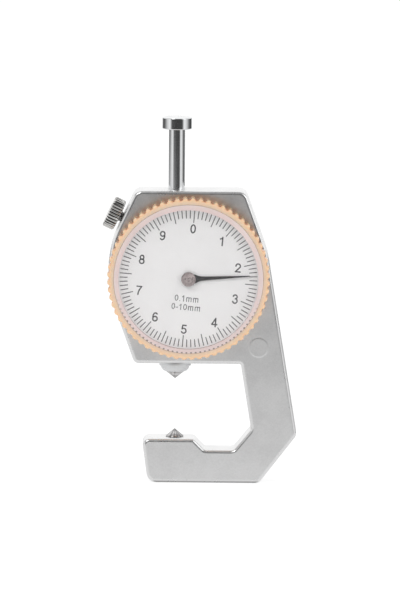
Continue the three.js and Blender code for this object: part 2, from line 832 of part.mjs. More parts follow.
// Collar under the rack, pinned to the rod; the pin runs in the frame's slot
piece(spindle, 'spring_collar', brass, cut(
  uprightRing(rodRadius + seatGap, collarRadius, collarBottom, collarTop, mediumSides),
  guidePinBar(guidePinRadius + seatGap, 0, backFace),
));
piece(spindle, 'guide_pin', steel, guidePinBar(guidePinRadius, guidePinInner, guidePinOuter));

// Pinion outline with involute flanks, one tooth pointing at the rack
function pinionShape() {
  const baseRadius = pinionPitchRadius * Math.cos(pressureAngle);
  const involute = (radius) => {
    const angle = Math.acos(Math.min(1, baseRadius / radius));
    return Math.tan(angle) - angle;
  };
  const halfAtPitch = (rackPitch / 2 - toothBacklash) / 2 / pinionPitchRadius;
  const halfAt = (radius) => halfAtPitch + involute(pinionPitchRadius) - involute(radius);
  const flank = [
    [pinionRootRadius, halfAt(baseRadius)],
    [baseRadius, halfAt(baseRadius)],
    [pinionPitchRadius, halfAt(pinionPitchRadius)],
    [pinionTipRadius, halfAt(pinionTipRadius)],
  ];
  const rising = flank.map(([radius, half]) => [radius, Math.PI - half]);
  const falling = [...flank].reverse().map(([radius, half]) => [radius, Math.PI + half]);
  return toothedShape(pinionTeeth, [...rising, ...falling]);
}

const arborFront = pointerFront - (pointerCapHeight - pointerCapRoof) + seatGap;
const arborBody = turned([
  [0, arborFront],
  [arborRadius, arborFront],
  [arborRadius, movementFloor - runningGap],
  [arborRadius, movementFloor + runningGap],
  [arborCollarRadius, movementFloor + runningGap],
  [arborCollarRadius, pinionWidth / 2],
  [arborRadius, pinionWidth / 2],
  [arborRadius, bridgeFront - runningGap],
  [rearPivotRadius, bridgeFront - runningGap],
  [rearPivotRadius, bridgeBack],
  [0, bridgeBack],
], smallSides);
const pinionBody = slab(pinionShape(), -pinionWidth / 2, pinionWidth / 2);
piece(pointer, 'centre_pinion', steel, join(arborBody, pinionBody));
piece(pointer, 'hair_spring_collet', brass, ringAlongY(arborRadius + seatGap, colletRadius,
  hairSpringMiddle - stripRise, hairSpringMiddle + stripRise, smallSides));

// Pointer: an eye on the arbor and a tapered blade, drawn upright and turned to its reading
function pointerShape() {
  const shape = new THREE.Shape();
  shape.moveTo(pointerTipHalfWidth, pointerLength);
  shape.lineTo(-pointerTipHalfWidth, pointerLength);
  shape.lineTo(-pointerRootHalfWidth, pointerEyeRadius + pointerFlareLength);
  for (let i = 0; i <= smallSides; i += 1) {
    const span = fullTurn - 2 * pointerFlareAngle;
    const angle = rightAngle + pointerFlareAngle + span * i / smallSides;
    shape.lineTo(pointerEyeRadius * Math.cos(angle), pointerEyeRadius * Math.sin(angle));
  }
  shape.lineTo(pointerRootHalfWidth, pointerEyeRadius + pointerFlareLength);
  return shape;
}

const blade = cut(
  slab(pointerShape(), pointerFront, pointerBack),
  bar(arborRadius + seatGap, pointerFront - overrun, pointerBack + overrun, smallSides),
);
piece(pointer, 'pointer_hand', pointerBlack, blade).rotation.y = pointerAngle;

const capBack = pointerFront - seatGap;
const capFront = capBack - pointerCapHeight;
piece(pointer, 'pointer_cap', hubMetal, turned([
  [0, capFront],
  [pointerCapRadius - pointerCapEdge, capFront],
  [pointerCapRadius, capFront + pointerCapEdge],
  [pointerCapRadius, capBack],
  [arborRadius + seatGap, capBack],
  [arborRadius + seatGap, capFront + pointerCapRoof],
  [0, capFront + pointerCapRoof],
], smallSides));

// Bezel: a turned ring with a snap groove, a dial seat and straight grip teeth
const snapGrooveRadius = bossRadius + snapRingWidth / 2 + runningGap;
const bezelBlank = turned([
  [bezelBoreRadius, bezelBack],
  [bezelRootRadius, bezelBack],
  [bezelTipRadius + runningGap, bezelBack - bezelToothDepth],
  [bezelTipRadius + runningGap, bezelFront + bezelChamfer],
  [bezelTipRadius - bezelChamfer, bezelFront],
  [bezelFrontLipRadius, bezelFront],
  [bezelFrontLipRadius, dialFront],
  [dialSeatRadius, dialFront],
  [dialSeatRadius, dialBack + seatGap],
  [bezelBoreRadius, dialBack + seatGap],
  [bezelBoreRadius, snapBack - snapRingHeight - seatGap],
  [snapGrooveRadius, snapBack - snapRingHeight - seatGap],
  [snapGrooveRadius, snapBack + seatGap],
  [bezelBoreRadius, snapBack + seatGap],
], fineSides);
const bezelPitchAngle = fullTurn / bezelTeeth;
const bezelTooth = [
  [bezelRootRadius, -bezelPitchAngle * bezelRootShare / 2],
  [bezelRootRadius, bezelPitchAngle * bezelRootShare / 2],
  [bezelTipRadius, bezelPitchAngle * (1 - bezelTipShare) / 2],
  [bezelTipRadius, bezelPitchAngle * (1 + bezelTipShare) / 2],
];
const bezelPrism = slab(toothedShape(bezelTeeth, bezelTooth), bezelFront - overrun,
  bezelBack + overrun);
piece(bezel, 'bezel_ring', bezelPlastic, common(bezelBlank, bezelPrism));

// Dial and crystal carried by the bezel
piece(bezel, 'dial_plate', dialEnamel, ringAlongY(dialHoleRadius, dialRadius, dialFront, dialBack,
  fineSides));
const crystalUnder = crystalFront + crystalThickness;
piece(bezel, 'crystal', clearPlastic, turned([
  [0, crystalFront],
  [crystalFlatRadius, crystalFront],
  [crystalRadius, crystalFront + crystalBevelDrop],
  [crystalRadius, crystalBack],
  [crystalRadius - crystalRimWall, crystalBack],
  [crystalRadius - crystalRimWall, crystalUnder + crystalThickness / 2],
  [crystalRadius - crystalRimWall - crystalThickness / 2, crystalUnder],
  [0, crystalUnder],
], fineSides));

// Spindle clamp: knurled screw and the brass pad that it presses on the rod
const clampHeadBack = -clampHeadGap - clampHeadHeight;
const clampBlank = turnedUpright([
  [0, clampHeadBack],
  [clampHeadRadius - clampHeadChamfer, clampHeadBack],
  [clampHeadRadius, clampHeadBack + clampHeadChamfer],
  [clampHeadRadius, -clampHeadGap - clampHeadChamfer],
  [clampHeadRadius - clampHeadChamfer, -clampHeadGap],
  [clampShankRadius, -clampHeadGap],
  [clampShankRadius, clampPadBack - seatGap],
  [0, clampPadBack - seatGap],
], clampRidges);
const ridgeAngle = fullTurn / clampRidges;
const ridgePrism = new THREE.ExtrudeGeometry(toothedShape(clampRidges, [
  [clampHeadRadius + seatGap, 0],
  [clampHeadRadius - clampRidgeDepth, ridgeAngle / 2],
]), { depth: clampHeadHeight + clampHeadGap + clampPadBack + overrun, bevelEnabled: false });
ridgePrism.translate(0, 0, clampHeadBack - overrun / 2);
piece(clamp, 'lock_screw', nickel, common(clampBlank, ridgePrism));

const rodInClamp = uprightBar(rodRadius + clampPadGap, throatTop, frameTop, mediumSides)
  .applyMatrix4(clamp.matrixWorld.clone().invert());
piece(clamp, 'lock_pad', brass, cut(
  uprightBar(clampPadRadius, clampPadBack, clampToAxis - overrun, smallSides),
  rodInClamp,
));

export default gauge;
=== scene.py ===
"""Looks of the dial thickness gauge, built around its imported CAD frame."""

import json
import math

import bmesh
import bpy
from bpy.props import FloatProperty, FloatVectorProperty, IntProperty, PointerProperty
from bpy.types import Operator, Panel, PropertyGroup
from mathutils import Matrix, Vector


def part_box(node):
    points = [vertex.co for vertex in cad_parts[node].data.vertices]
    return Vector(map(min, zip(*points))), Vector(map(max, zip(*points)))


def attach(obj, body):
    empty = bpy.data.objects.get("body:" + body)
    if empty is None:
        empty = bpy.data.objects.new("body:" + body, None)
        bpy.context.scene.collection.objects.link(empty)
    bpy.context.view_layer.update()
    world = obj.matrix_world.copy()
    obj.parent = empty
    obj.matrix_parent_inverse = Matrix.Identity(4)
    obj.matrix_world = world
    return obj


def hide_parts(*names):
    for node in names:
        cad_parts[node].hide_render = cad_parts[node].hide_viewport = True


bl_info = {
    "name": "Dial thickness gauge",
    "version": (1, 0, 0),
    "blender": (4, 5, 0),
    "location": "3D View > Sidebar > Gauge",
    "description": "Builds the visible pieces of a dial thickness gauge around its CAD frame",
    "category": "Add Mesh",
}

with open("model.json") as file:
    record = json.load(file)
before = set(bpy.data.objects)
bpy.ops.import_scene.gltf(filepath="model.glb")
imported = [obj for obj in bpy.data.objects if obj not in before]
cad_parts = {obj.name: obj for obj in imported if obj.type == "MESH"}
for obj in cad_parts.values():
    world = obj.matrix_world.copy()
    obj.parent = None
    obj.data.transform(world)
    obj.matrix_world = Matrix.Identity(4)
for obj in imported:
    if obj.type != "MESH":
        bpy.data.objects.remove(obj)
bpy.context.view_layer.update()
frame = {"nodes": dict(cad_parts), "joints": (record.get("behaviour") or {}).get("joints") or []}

MM = 0.001
MERGE = 1e-7
POLE_MERGE = 1e-6
ORIGIN = Vector((0, 0, 0))
X_AXIS, Y_AXIS, Z_AXIS = Vector((1, 0, 0)), Vector((0, 1, 0)), Vector((0, 0, 1))
FULL_TURN = 2 * math.pi
DIAL_DIVISIONS = 100
JOINTS = {joint["name"]: joint for joint in frame["joints"]}

# Where the dial's axis and the clamp's axis run, from the joints of the CAD frame
DIAL_CENTRE = Vector(JOINTS["bezel_turn"]["pos_m"])
CLAMP_FOOT = Vector(JOINTS["lock_turn"]["pos_m"])
CLAMP_INWARD = Vector(JOINTS["lock_turn"]["axis"]).normalized()


def extent(node, axis):
    """Where a CAD node starts and ends along X (0), Y (1) or Z (2), in millimetres."""
    low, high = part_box(node)
    return low[axis] / MM, high[axis] / MM


def depths(node):
    """Front and back of a CAD node, in millimetres."""
    return extent(node, 1)


def heights(node):
    """Bottom and top of a CAD node, in millimetres."""
    return extent(node, 2)


def half_width(node):
    """Largest radius of a CAD node that is round about Y or Z, in millimetres."""
    low, high = extent(node, 0)
    return (high - low) / 2


def reach(node, origin, axis):
    """Both ends of a CAD node along an axis, and its largest radius round it, in millimetres."""
    outs = [(vert.co - origin) / MM for vert in frame["nodes"][node].data.vertices]
    ends = [out.dot(axis) for out in outs]
    radius = max((out - axis * end).length for out, end in zip(outs, ends))
    return min(ends), max(ends), radius


BOSS_FRONT, FACE_BACK = depths("frame")
FACE_FRONT = -FACE_BACK
FRAME_TOP = heights("frame")[1]
THROAT_TOP = heights("lower_guide_bush")[0] - 0.1


def length_property(name, description, default):
    """A length in metres that the sidebar shows in scene units."""
    return FloatProperty(
        name=name, description=description, default=default, min=0.0,
        precision=5, subtype="DISTANCE", unit="LENGTH")


def angle_property(name, description, degrees):
    return FloatProperty(
        name=name, description=description, default=math.radians(degrees),
        subtype="ANGLE", unit="ROTATION")


def count_property(name, description, default, least):
    return IntProperty(name=name, description=description, default=default, min=least)


def colour_property(name, description, default):
    return FloatVectorProperty(
        name=name, description=description, default=default, size=3,
        min=0.0, max=1.0, subtype="COLOR")


class GaugeSizes(PropertyGroup):
    edge_radius: length_property("Edge radius", "Rounding of the casting's edges", 0.85 * MM)
    edge_segments: count_property("Edge segments", "Faces across a rounded edge", 6, 1)
    bezel_teeth: count_property("Bezel teeth", "Grip teeth around the bezel", 64, 8)
    tooth_depth: length_property("Tooth depth", "Depth of the bezel's teeth", 0.5 * MM)
    dial_turn: angle_property("Dial turn", "Clockwise turn of the dial from upright", 4.75)
    digit_height: length_property("Digit height", "Height of the dial's numbers", 2.15 * MM)
    digit_pen: length_property("Digit pen", "Width of the numbers' strokes", 0.33 * MM)
    legend_height: length_property("Text height", "Height of the two lines of text", 1.42 * MM)
    legend_pen: length_property("Text pen", "Width of the text's strokes", 0.18 * MM)
    digit_circle: length_property("Digit circle", "Radius on which the numbers stand", 12.3 * MM)
    tick_outer: length_property("Tick outer end", "Radius where each tick ends", 16.7 * MM)
    tick_short: length_property("Short tick start", "Radius where a short tick starts", 14.8 * MM)
    tick_long: length_property("Long tick start", "Radius where a long tick starts", 13.8 * MM)
    tick_width: length_property("Tick width", "Width of a tick", 0.21 * MM)
    knurl_ridges: count_property("Knurl ridges", "Ridges around the lock screw", 32, 8)
    knurl_depth: length_property("Knurl depth", "Depth of the lock screw's grooves", 0.36 * MM)


class GaugeColours(PropertyGroup):
    casting: colour_property("Casting", "Satin face of the casting", (0.92, 0.92, 0.92))
    chrome: colour_property("Chrome", "Rod and push button", (0.86, 0.87, 0.88))
    nickel: colour_property("Nickel", "Lock screw and cover screws", (0.78, 0.77, 0.75))
    steel: colour_property("Steel", "Moving point and small steel pieces", (0.74, 0.73, 0.73))
    anvil: colour_property("Anvil", "Fixed measuring point", (0.7, 0.69, 0.69))
    # Painted shade, not a colour of the plastic: the brown-red that darkens the bezel's gaps
    grime: colour_property("Grime", "Shade in the gaps between the bezel's teeth", (0.62, 0.26, 0.14))
    brass: colour_property("Brass", "Bearings, bridge and pad", (0.80, 0.58, 0.26))
    bezel_inner: colour_property("Bezel, inside", "Peach plastic near the crystal", (0.72, 0.56, 0.43))
    bezel_outer: colour_property("Bezel, outside", "Peach plastic near the teeth", (0.82, 0.575, 0.37))
    crystal: colour_property("Crystal", "Clear plastic over the dial", (0.99, 0.985, 0.985))
    rim_inner: colour_property("Crystal rim, inside", "Rim near the clear plastic", (0.71, 0.585, 0.57))
    rim_outer: colour_property("Crystal rim, outside", "Rim near the bezel", (0.75, 0.635, 0.61))
    dial: colour_property("Dial", "White enamel of the dial", (0.89, 0.89, 0.89))
    print_ink: colour_property("Print", "Ticks and numbers", (0.03, 0.03, 0.033))
    pointer: colour_property("Pointer", "Black paint of the pointer", (0.006, 0.006, 0.007))
    hub: colour_property("Hub", "Cap over the pointer's eye", (0.38, 0.325, 0.32))


class GaugeStudio(PropertyGroup):
    camera_distance: length_property("Camera distance", "From the camera to the gauge", 2.5)
    camera_elevation: angle_property("Camera elevation", "Height of the camera above level", 7.4)
    camera_roll: angle_property("Camera roll", "Lean of the picture", 0.5)
    view_height: length_property("View height", "Height that the picture shows", 146.0 * MM)
    sky_strength: FloatProperty(
        name="Sky strength", description="Brightness of the soft light all round",
        default=0.8, min=0.0)
    key_power: FloatProperty(
        name="Key power", description="Power of the soft lamp at the upper left",
        default=3.0, min=0.0, subtype="POWER", unit="POWER")


def sizes():
    return bpy.context.scene.gauge_sizes


def colours():
    return bpy.context.scene.gauge_colours


# Mesh helpers


def weld(bm, gap=MERGE):
    """Joins vertices that lie within a gap of one another."""
    bmesh.ops.remove_doubles(bm, verts=bm.verts, dist=gap)


def quarter(steps):
    """Angles of a quarter turn, in equal steps."""
    return [math.pi / 2 * step / steps for step in range(steps + 1)]


def turned(profile, origin, axis, steps=96):
    """A form turned from (radius, along) points in millimetres about an axis."""
    start = X_AXIS if abs(axis.x) < 0.5 else Y_AXIS
    side = (start - axis * start.dot(axis)).normalized()
    bm = bmesh.new()
    verts = [
        bm.verts.new(origin + side * (radius * MM) + axis * (along * MM)) for radius, along in profile]
    edges = [bm.edges.new(pair) for pair in zip(verts, verts[1:])]
    if min(radius for radius, _ in profile) > 0:
        edges.append(bm.edges.new((verts[-1], verts[0])))
    bmesh.ops.spin(
        bm, geom=verts + edges, cent=origin, axis=axis, angle=FULL_TURN,
        steps=steps, use_merge=True, use_duplicate=False)
    weld(bm, POLE_MERGE)
    bmesh.ops.recalc_face_normals(bm, faces=bm.faces)
    return bm


def bar(radius, start, end, origin, axis, steps=96):
    """A round bar between two places along an axis, in millimetres."""
    return turned([(0, start), (radius, start), (radius, end), (0, end)], origin, axis, steps)


def add_box(bm, place, size):
    """Adds a box of a size in metres where a matrix puts it."""
    bmesh.ops.create_cube(bm, size=1, matrix=place @ Matrix.Diagonal((*size, 1)))


def thicken(bm, depth):
    """Extrudes a flat outline along Y into a closed plate."""
    made = bmesh.ops.extrude_face_region(bm, geom=bm.faces[:])
    moved = [item for item in made["geom"] if isinstance(item, bmesh.types.BMVert)]
    bmesh.ops.translate(bm, vec=(0, depth, 0), verts=moved)
    bmesh.ops.recalc_face_normals(bm, faces=bm.faces)


def bevel(bm, edges, offset, segments, clamp=True):
    """Rounds edges, and gives the new faces."""
    made = bmesh.ops.bevel(
        bm, geom=edges, offset=offset, offset_type="OFFSET", segments=segments,
        profile=0.5, affect="EDGES", clamp_overlap=clamp, material=-1)
    return made["faces"]


def soften(bm, offset, segments=2, least_angle=25):
    """Bevels the edges of a form that are sharper than an angle in degrees."""
    sharp = [
        edge for edge in bm.edges
        if len(edge.link_faces) == 2 and edge.calc_face_angle(0) > math.radians(least_angle)
    ]
    bevel(bm, sharp, offset * MM, segments)


def cut_teeth(bm, origin, axis, side, root, depth, tooth_height):
    """Cuts teeth in the rim of a turned form, and marks the gaps in its groove attribute."""
    across = axis.cross(side)
    groove = bm.verts.layers.float.new("groove")
    for vert in bm.verts:
        out = vert.co - origin
        along = axis * out.dot(axis)
        flat = out - along
        tooth = tooth_height(math.atan2(flat.dot(across), flat.dot(side)))
        limit = root + depth * tooth
        if flat.length > root + MERGE:
            vert[groove] = 1 - tooth
        if flat.length > limit:
            vert.co = origin + along + flat * (limit / flat.length)
    weld(bm)
    return groove


def off_middle(angle, count):
    """How far an angle is from the middle of its share of a turn in count shares, from 0 to 1."""
    return abs((angle * count / FULL_TURN) % 1 - 0.5) * 2


def crease(bm, angle):
    """Smooth shading, with edges sharper than an angle in degrees left hard."""
    for face in bm.faces:
        face.smooth = True
    for edge in bm.edges:
        edge.smooth = len(edge.link_faces) == 2 and edge.calc_face_angle(0) < math.radians(angle)


def in_scene(name, data):
    """A new object of the scene that shows a mesh, a curve, a lamp or a camera."""
    made = bpy.data.objects.new(name, data)
    bpy.context.scene.collection.objects.link(made)
    return made


def object_of(bm, name, looks=()):
    """Turns a bmesh into an object of the scene."""
    mesh = bpy.data.meshes.new(name)
    bm.to_mesh(mesh)
    bm.free()
    for look in looks:
        mesh.materials.append(look)
    return in_scene(name, mesh)


def add_piece(bm, name, looks, body, slot, *replaced, angle=33, weighted=True):
    """Makes an object of bm that rides on a body and stands for the CAD nodes it replaces."""
    crease(bm, angle)
    piece = object_of(bm, name, [look_of(look) for look in looks])
    if weighted:
        piece.modifiers.new("Even shading", "WEIGHTED_NORMAL").keep_sharp = True
    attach(piece, body)
    if replaced:
        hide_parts(*replaced)


def merged_copy(node):
    """Mesh of a CAD node with its loose triangles joined."""
    bm = bmesh.new()
    bm.from_mesh(frame["nodes"][node].data)
    weld(bm)
    return bm


def outline_face(node, depth):
    """Outer outline of a CAD node where a plane square to Y cuts it, as one face."""
    bm = merged_copy(node)
    bmesh.ops.bisect_plane(
        bm, geom=[*bm.verts, *bm.edges, *bm.faces], dist=MERGE,
        plane_co=(0, depth, 0), plane_no=Y_AXIS, clear_inner=True, clear_outer=True)
    weld(bm)
    outer = {min(bm.verts, key=lambda vert: vert.co.x)}
    reached = list(outer)
    while reached:
        vert = reached.pop()
        for edge in vert.link_edges:
            other = edge.other_vert(vert)
            if other not in outer:
                outer.add(other)
                reached.append(other)
    bmesh.ops.delete(bm, geom=[v for v in bm.verts if v not in outer], context="VERTS")
    bmesh.ops.contextual_create(bm, geom=bm.edges[:])
    bmesh.ops.dissolve_limit(
        bm, angle_limit=math.radians(1), use_dissolve_boundaries=False,
        verts=bm.verts, edges=bm.edges)
    return bm


def boolean(bm, tools, operation):
    """Joins or cuts bm with every mesh of tools, and gives the result as a new bmesh."""
    whole = object_of(bm, "whole")
    parts = [object_of(tool, "tool") for tool in tools]
    for part in parts:
        modifier = whole.modifiers.new("Boolean", "BOOLEAN")
        modifier.operation = operation
        modifier.solver = "EXACT"
        modifier.object = part
    result = bmesh.new()
    result.from_object(whole, bpy.context.evaluated_depsgraph_get())
    for leftover in [whole, *parts]:
        mesh = leftover.data
        bpy.data.objects.remove(leftover)
        bpy.data.meshes.remove(mesh)
    return result


# Shader node helpers


class Nodes:
    """Adds shader nodes to a tree and wires them; each input is a socket or a plain value."""

    def __init__(self, tree):
        self.tree = tree

    def feed(self, value, socket):
        if isinstance(value, bpy.types.NodeSocket):
            self.tree.links.new(value, socket)
        else:
            socket.default_value = value

    def add(self, kind, inputs=None, **settings):
        made = self.tree.nodes.new(kind)
        for key, value in settings.items():
            setattr(made, key, value)
        for key, value in (inputs or {}).items():
            self.feed(value, made.inputs[key])
        return made

    def group(self, name, **inputs):
        """Places a named group; an underscore in an input's name stands for a space."""
        named = {key.replace("_", " "): value for key, value in inputs.items()}
        return self.add("ShaderNodeGroup", named, node_tree=group_of(name)).outputs

    def math(self, operation, *values, **settings):
        made = self.add("ShaderNodeMath", dict(enumerate(values)), operation=operation, **settings)
        return made.outputs["Value"]

    def vector_math(self, operation, *values):
        made = self.add("ShaderNodeVectorMath", dict(enumerate(values)), operation=operation)
        number = operation in {"LENGTH", "DISTANCE", "DOT_PRODUCT"}
        return made.outputs["Value" if number else "Vector"]

    def parts(self, vector):
        """X, Y and Z of a vector."""
        return self.add("ShaderNodeSeparateXYZ", {"Vector": vector}).outputs

    def joined(self, x, y, z):
        return self.add("ShaderNodeCombineXYZ", {"X": x, "Y": y, "Z": z}).outputs["Vector"]

    def radius(self, x, z):
        """Distance from the Y axis."""
        return self.vector_math("LENGTH", self.joined(x, 0.0, z))

    def moved(self, vector, place, turn=(0, 0, 0)):
        """Coordinates turned, and then moved by a place."""
        inputs = {"Vector": vector, "Location": place, "Rotation": turn}
        return self.add("ShaderNodeMapping", inputs).outputs["Vector"]

    def noise(self, vector, scale, detail):
        inputs = {"Vector": vector, "Scale": scale, "Detail": detail}
        return self.add("ShaderNodeTexNoise", inputs).outputs["Fac"]

    def remap(self, value, source=(0.0, 1.0), target=(0.0, 1.0), **settings):
        """A value moved from one range to another, and held inside it."""
        labels = ("Value", "From Min", "From Max", "To Min", "To Max")
        inputs = dict(zip(labels, (value, *source, *target)))
        return self.add("ShaderNodeMapRange", inputs, **settings).outputs["Result"]

    def mix(self, share, first, second):
        """A value between two values."""
        return self.add("ShaderNodeMix", {"Factor": share, "A": first, "B": second}).outputs["Result"]

    def blend(self, share, first, second, kind="MIX"):
        """A colour between two colours."""
        made = self.add("ShaderNodeMix", {0: share, 6: first, 7: second}, data_type="RGBA", blend_type=kind)
        return made.outputs[2]

    def ramp(self, value, stops):
        """The grey that a value picks out of (position, grey) stops."""
        made = self.add("ShaderNodeValToRGB", {"Fac": value})
        elements = made.color_ramp.elements
        while len(elements) > 1:
            elements.remove(elements[-1])
        elements[0].position = stops[0][0]
        elements[0].color = (*[stops[0][1]] * 3, 1)
        for position, grey in stops[1:]:
            elements.new(position).color = (grey, grey, grey, 1)
        return made.outputs["Color"]


# Shader node groups: each function wires one, and gives its results by name


def mottle_group(nodes, given):
    """Soft blotches and fine grain: a colour, a roughness and a height for the bump."""
    blotch = nodes.noise(given["Vector"], given["Blotch Scale"], 5.0)
    grain = nodes.noise(given["Vector"], given["Grain Scale"], 3.0)
    spread = nodes.remap(nodes.mix(0.35, blotch, grain), (0.36, 0.64))
    return {
        "Color": nodes.blend(spread, given["Dark"], given["Light"]),
        "Roughness": nodes.remap(spread, target=(given["Smoothest"], given["Roughest"])),
        "Height": grain,
    }


def streak_results(nodes, given, vector):
    """Fine marks that run along a vector's short stretch."""
    marks = nodes.noise(nodes.vector_math("MULTIPLY", vector, given["Stretch"]), 100.0, 4.0)
    return {
        "Roughness": nodes.remap(marks, (0.35, 0.65), (given["Smoothest"], given["Roughest"])),
        "Height": marks,
        "Mask": nodes.remap(marks, (0.38, 0.62)),
    }


def streak_group(nodes, given):
    """Straight marks along an axis."""
    return streak_results(nodes, given, given["Vector"])


def turned_streak_group(nodes, given):
    """Marks on a turned piece, by angle, radius and depth about the Y axis."""
    x, y, z = nodes.parts(given["Vector"])
    place = nodes.joined(nodes.math("ARCTAN2", x, z), nodes.radius(x, z), y)
    return streak_results(nodes, given, place)


def rim_group(nodes, given):
    """A colour that turns from one to another with the distance from the Y axis."""
    x, _, z = nodes.parts(given["Vector"])
    share = nodes.remap(nodes.radius(x, z), (given["Start"], given["End"]))
    return {"Color": nodes.blend(share, given["Inner"], given["Outer"])}


def tick_ghost_group(nodes, given):
    """Small marks on a ring round the Y axis: a painted refraction of the ends of a dial's ticks, as a
    bevelled rim shows them.
    """
    x, _, z = nodes.parts(given["Vector"])
    angle = nodes.math("SUBTRACT", nodes.math("ARCTAN2", x, z), given["Turn"])
    tick = nodes.math("COSINE", nodes.math("MULTIPLY", angle, DIAL_DIVISIONS))
    apart = nodes.math("ABSOLUTE", nodes.math("SUBTRACT", nodes.radius(x, z), given["Radius"]))
    ring = nodes.remap(nodes.math("DIVIDE", apart, given["Reach"]), (0.6, 1.0), (1.0, 0.0))
    return {"Mask": nodes.math("MULTIPLY", ring, nodes.remap(tick, (0.1, 0.7)))}


def groove_group(nodes, given):
    """Lays a dark colour over another where a mask is high: painted shade in the grooves and gaps of a piece,
    a painted refraction of the dial's ticks, and darker ground marks.
    """
    share = nodes.math("MULTIPLY", given["Groove"], given["Amount"])
    return {"Color": nodes.blend(share, given["Color"], given["Dark"])}


# Brightness by direction round the gauge, from the camera's side (0) to behind it (1)
AROUND = [
    (0.0, 0.05), (0.2, 0.06), (0.24, 0.16), (0.285, 0.7), (0.33, 0.93), (0.385, 0.8), (0.44, 0.66),
    (0.49, 0.46), (0.56, 0.18), (0.64, 0.08), (0.72, 0.04), (0.8, 0.06), (0.9, 1.0), (1.0, 1.0),
]
# The bright ceiling starts above the gauge and leans back by this angle, and the air before it is grey
CEILING_LEAN = math.radians(50)
UPPER_GREY = 0.25
# Above the level of the gauge its sides meet white walls
SIDE_WHITE = 1.0


def studio_group(nodes, given):
    """Brightness that metal meets in a direction: dark in front, bright panels, white above and behind."""
    ahead = nodes.vector_math("NORMALIZE", given["Vector"])
    x, y, z = nodes.parts(ahead)
    angle = nodes.math("ARCTAN2", x, nodes.math("MULTIPLY", y, -1.0))
    share = nodes.math("DIVIDE", nodes.math("ABSOLUTE", angle), math.pi)
    upward = (0, math.sin(CEILING_LEAN), math.cos(CEILING_LEAN))
    ceiling = nodes.remap(nodes.vector_math("DOT_PRODUCT", ahead, upward), (0.5, 0.85))
    beside = nodes.math("MULTIPLY", nodes.remap(z, (0.02, 0.12)), nodes.remap(share, (0.37, 0.5)))
    walls = nodes.mix(beside, nodes.ramp(share, AROUND), SIDE_WHITE)
    upper = nodes.mix(nodes.remap(z, (0.25, 0.6)), walls, UPPER_GREY)
    return {"Brightness": nodes.mix(ceiling, upper, 1.0)}


ZERO, GREY = (0.0, 0.0, 0.0), (0.8, 0.8, 0.8, 1.0)
STREAK_INPUTS = {"Vector": ZERO, "Stretch": (1.0, 1.0, 40.0), "Smoothest": 0.08, "Roughest": 0.2}

# What wires each group, and its inputs with their defaults
SHADER_GROUPS = {
    "Mottle": (mottle_group, {
        "Vector": ZERO, "Blotch Scale": 200.0, "Grain Scale": 3000.0,
        "Light": GREY, "Dark": GREY, "Smoothest": 0.3, "Roughest": 0.4}),
    "Streaks": (streak_group, STREAK_INPUTS),
    "Turned streaks": (turned_streak_group, STREAK_INPUTS),
    "Rim tint": (rim_group, {"Vector": ZERO, "Start": 0.01, "End": 0.02, "Inner": GREY, "Outer": GREY}),
    "Tick ghosts": (tick_ghost_group, {"Vector": ZERO, "Radius": 0.01, "Reach": 0.0002, "Turn": 0.0}),
    "Groove grime": (groove_group, {"Color": GREY, "Groove": 0.0, "Amount": 0.8, "Dark": GREY}),
    "Studio": (studio_group, {"Vector": ZERO}),
}
INPUT_KINDS = {3: "NodeSocketVector", 4: "NodeSocketColor"}
OUTPUT_KINDS = {"VALUE": "NodeSocketFloat", "RGBA": "NodeSocketColor"}


def group_of(name):
    """The named node group with its sockets, built the first time it is asked for."""
    if name in bpy.data.node_groups:
        return bpy.data.node_groups[name]
    tree = bpy.data.node_groups.new(name, "ShaderNodeTree")
    wire, inputs = SHADER_GROUPS[name]
    for label, value in inputs.items():
        kind = "NodeSocketFloat" if isinstance(value, float) else INPUT_KINDS[len(value)]
        tree.interface.new_socket(name=label, in_out="INPUT", socket_type=kind).default_value = value
    nodes = Nodes(tree)
    results = wire(nodes, nodes.add("NodeGroupInput").outputs)
    for label, source in results.items():
        tree.interface.new_socket(name=label, in_out="OUTPUT", socket_type=OUTPUT_KINDS[source.type])
    nodes.add("NodeGroupOutput", results)
    return tree


# Finishes


def shade(colour, factor=1.0):
    """A colour made darker or lighter, with its alpha."""
    return (*[min(1.0, channel * factor) for channel in colour], 1)


